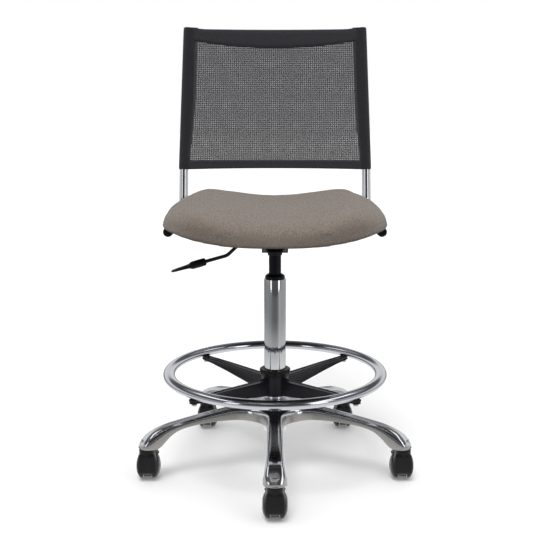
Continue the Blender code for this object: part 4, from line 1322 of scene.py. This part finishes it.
def sleeveRow(side, z):
    # the sleeve's section round the upright: over the tube, then flat to the stitched inner edge
    centre = backPoint(side, z, 0.0)
    r = backFrame["tubeR"] + back["borderThick"]
    inner = sleeveAt(z)
    slope = 2 * backFrame["bow"] / uprightAt(z).x  # how the panel leaves the upright
    front, rear = -back["ahead"], -back["ahead"] + 0.0028
    section = []
    for k in range(13):
        angle = math.radians(-100 + 200 * k / 12)
        section.append((r * math.cos(angle), r * math.sin(angle)))
    section += [(-0.55 * r, r * 0.80), (-1.15 * r, r * 0.20)]
    for k in range(4):
        section.append((-inner * (0.80 + 0.066 * k), rear + slope * inner * (0.80 + 0.066 * k)))
    section += [(-inner - 0.0006, 0.5 * (front + rear) + slope * inner)]
    for k in range(4):
        section.append((-inner * (1.0 - 0.066 * k), front + slope * inner * (1.0 - 0.066 * k)))
    section += [(-0.95 * r, front - 0.0012 + 0.5 * slope * r), (-0.5 * r, -r * 0.97)]
    return [centre + Vector((side * x, y, 0)) for x, y in section]


def makeSleeves():
    made = []
    for name, side in (("left", -1), ("right", 1)):
        rows = []
        tall = back["sleeveTopZ"] - back["bottomZ"]
        heights = [back["bottomZ"] + 0.0005 + tall * k / 36 for k in range(37)]
        for k, z in enumerate(heights):
            row = sleeveRow(side, z)
            if k in (0, len(heights) - 1):
                centre = sum(row, Vector()) / len(row)
                row = [centre + (p - centre) * 0.97 for p in row]
            rows.append(row)
        sleeve = rowsPiece("back_sleeve_" + name, rows, smoothAngle=60)
        # the sleeves wear the darker copy of the binding cloth, whose extra darkness is painted shade
        made.append(fit(sleeve, "seat", "sleeve", "back_fabric"))
    return made


def makeBorder(name, lowEdge, highEdge, barZ):
    # a hem folded over a bar: front layer, round the bar's far side, and down behind
    rows = []
    steps = 60
    reach, wrapR = back["borderReach"], back["wrapR"]
    front = back["ahead"] + 0.0014
    for i in range(steps + 1):
        share = -reach + 2 * reach * i / steps
        low, high = lowEdge(share), highEdge(share)
        row = [backPoint(share, low, front - 0.0008)]
        for k in range(5):
            z = low + 0.0006 + (high - 0.0030 - low) * k / 4
            row.append(backPoint(share, z, front))
        row.append(backPoint(share, high - 0.0008, front - 0.0014))
        row.append(backPoint(share, high, front - 0.0060))
        row.append(backPoint(share, high - 0.0006, -wrapR + 0.002))
        for degrees in back["wrapTurns"]:
            angle = math.radians(degrees)
            row.append(backPoint(share, barZ + wrapR * math.sin(angle), -wrapR * math.cos(angle)))
        row.append(backPoint(share, low + 0.0006, front - 0.0030))
        rows.append(row)
    border = rowsPiece(name, rows, smoothAngle=60)
    return fit(border, "seat", "border", "back_fabric")


def pointAlong(path, marks, distance):
    # marks are the distances of the path's points from its start
    for i in range(len(marks) - 1):
        if distance <= marks[i + 1]:
            break
    share = (distance - marks[i]) / max(marks[i + 1] - marks[i], 1e-9)
    return path[i].lerp(path[i + 1], share)


def makeStitches(name, path):
    # a row of short stitches along a path of points
    shape = bmesh.new()
    marks = [0.0]
    for first, second in zip(path, path[1:]):
        marks.append(marks[-1] + (second - first).length)
    step = back["stitchStep"]
    rise = Vector((0, -back["stitchR"], 0))
    for k in range(int(marks[-1] / step)):
        start = pointAlong(path, marks, k * step)
        end = pointAlong(path, marks, k * step + back["stitchLength"])
        ahead = (end - start).normalized()
        side = ahead.cross(Vector((0, -1, 0))).normalized() * back["stitchR"]
        ends = []
        for share, lift in ((0, -0.6), (0.25, 1), (0.75, 1), (1, -0.6)):
            p = start.lerp(end, share) + rise * lift
            ends.append([p - side, p + rise, p + side, p - rise])
        addRows(shape, ends)
    return fit(fromShape(name, shape, 60), "seat", "stitch", "back_fabric")


def makeSeams():
    shares = [-0.90 + 1.80 * i / 48 for i in range(49)]
    ahead, inset = back["ahead"] + 0.0018, back["seamInset"]
    seams = [
        makeStitches("stitch_top", [backPoint(s, topHem(s) + inset, ahead) for s in shares]),
        makeStitches("stitch_bottom", [backPoint(s, bottomHem(s) - inset, ahead) for s in shares]),
    ]
    heights = [back["seamFrom"] + back["seamRun"] * k / 24 for k in range(25)]
    for name, side in (("left", -1), ("right", 1)):
        path = [backPoint(side * (innerShare(z) + 0.014), z, back["ahead"] + 0.0006) for z in heights]
        seams.append(makeStitches("stitch_" + name, path))
    return seams


def topEdge(share):
    return back["topZ"] + back["cornerRise"] * smoothStep(0.80, 1.03, abs(share))


def bottomEdge(share):
    return back["bottomZ"] - 0.0005 + 0.0015 * (1 - share * share)


def cappedTopHem(share):
    return topHem(min(1, abs(share)))


def cappedBottomHem(share):
    return bottomHem(min(1, abs(share)))


def makeBack():
    weave = makeMesh()
    sleeves = makeSleeves()
    top = makeBorder("back_border_top", cappedTopHem, topEdge, backFrame["upperBarZ"])
    low = makeBorder("back_border_bottom", bottomEdge, cappedBottomHem, backFrame["lowerBarZ"])
    seams = makeSeams()
    print("back made")


makeBack()


# Seat

seat = {
    "halfWidth": 0.2507,
    "halfDepth": 0.225,
    "centreY": -0.020,
    "square": 2.8,
    "under": 0.5793,
    "top": 0.6175,
    "horn": 0.0212,
    "shoulder": 0.0175,
    "curl": 0.010,
    "dip": 0.002,
    "fallFrom": -0.080,
    "fallRun": 0.160,
    "fallDrop": 0.0236,
    "voxel": 0.005,
    "pressure": 4.0,
    "swell": 0.006,
    "clothSteps": 20,
    "relaxTimes": 6,
    # the side's profile: size as a share of the outline, height as a share of the thickness
    "side": ((0.955, 0.00), (0.978, 0.05), (0.992, 0.15), (0.999, 0.30), (1.0, 0.48), (0.994, 0.66),
             (0.980, 0.82), (0.955, 0.93), (0.915, 0.985), (0.86, 1.0)),
    "faceScales": (0.05, 0.2, 0.35, 0.5, 0.65, 0.8, 0.9),
}


def fallAt(y):
    return seat["fallDrop"] * (max(0.0, seat["fallFrom"] - y) / seat["fallRun"]) ** 2


def seatOutline(scale, heightAt, points=96):
    row = []
    power = 2 / seat["square"]
    for i in range(points):
        angle = 2 * math.pi * i / points
        c, s = math.cos(angle), math.sin(angle)
        x = seat["halfWidth"] * math.copysign(abs(c) ** power, c) * scale
        y = seat["halfDepth"] * math.copysign(abs(s) ** power, s) * scale + seat["centreY"]
        row.append(Vector((x, y, heightAt(x, y))))
    return row


def underAt(x, y):
    # the underside curls up a little towards the sides, in front of the pan
    ahead = 1 - smoothStep(-0.22, -0.10, y)
    curl = seat["curl"] * (abs(x) / seat["halfWidth"]) ** 2 - seat["dip"]
    return seat["under"] - fallAt(y) + ahead * curl


def topAt(x, y):
    rear = 0.006 * (y - seat["centreY"]) / seat["halfDepth"]
    sides = seat["horn"] * smoothStep(0.0, 0.20, abs(x)) ** 1.2
    far = smoothStep(-0.05, 0.12, y)
    shoulder = seat["shoulder"] * smoothStep(0.155, 0.250, abs(x))
    return seat["top"] + rear + sides * (0.75 + 0.25 * far) - shoulder - 0.9 * fallAt(y)


def cushionRows():
    def part(share):
        return lambda x, y: underAt(x, y) + (topAt(x, y) - underAt(x, y)) * share

    scales = seat["faceScales"]
    rows = [seatOutline(s, part(0)) for s in scales]
    rows += [seatOutline(s, part(share)) for s, share in seat["side"]]
    rows += [seatOutline(s, part(1)) for s in scales[4::-1]]
    return rows


def puff(piece):
    # inflates the cushion a little with cloth simulation, capped so that it keeps its size
    bpy.context.view_layer.objects.active = piece
    remesh = piece.modifiers.new("Remesh", "REMESH")
    remesh.mode = "VOXEL"
    remesh.voxel_size = seat["voxel"]
    bpy.ops.object.modifier_apply(modifier=remesh.name)
    rest = [v.co.copy() for v in piece.data.vertices]
    cloth = piece.modifiers.new("Cloth", "CLOTH")
    cloth.settings.use_pressure = True
    cloth.settings.uniform_pressure_force = seat["pressure"]
    cloth.settings.effector_weights.gravity = 0.0
    cloth.settings.quality = 5
    for step in range(1, seat["clothSteps"] + 1):
        bpy.context.scene.frame_set(step)
    graph = bpy.context.evaluated_depsgraph_get()
    swollen = piece.evaluated_get(graph).to_mesh()
    moved = [v.co.copy() for v in swollen.vertices]
    piece.modifiers.remove(cloth)
    bpy.context.scene.frame_set(1)
    for vertex, was, now in zip(piece.data.vertices, rest, moved):
        shift = now - was
        if shift.length > seat["swell"]:
            shift = shift.normalized() * seat["swell"]
        flat = smoothStep(0.004, 0.016, was.z - underAt(was.x, was.y))  # the underside stays on the pan
        vertex.co = was + shift * flat
    return piece


def makeSeat():
    cushion = rowsPiece("seat_pad", cushionRows(), smoothAngle=180)
    puff(cushion)
    relax = cushion.modifiers.new("Relax", "SMOOTH")
    relax.factor = 0.5
    relax.iterations = seat["relaxTimes"]
    subdivide(cushion, 1)
    fit(cushion, "seat", "seatCloth", "seat_fabric", "seat_cushion")
    finishNode("seat_pan", "undercloth", 0.0008)
    print("seat made")


makeSeat()
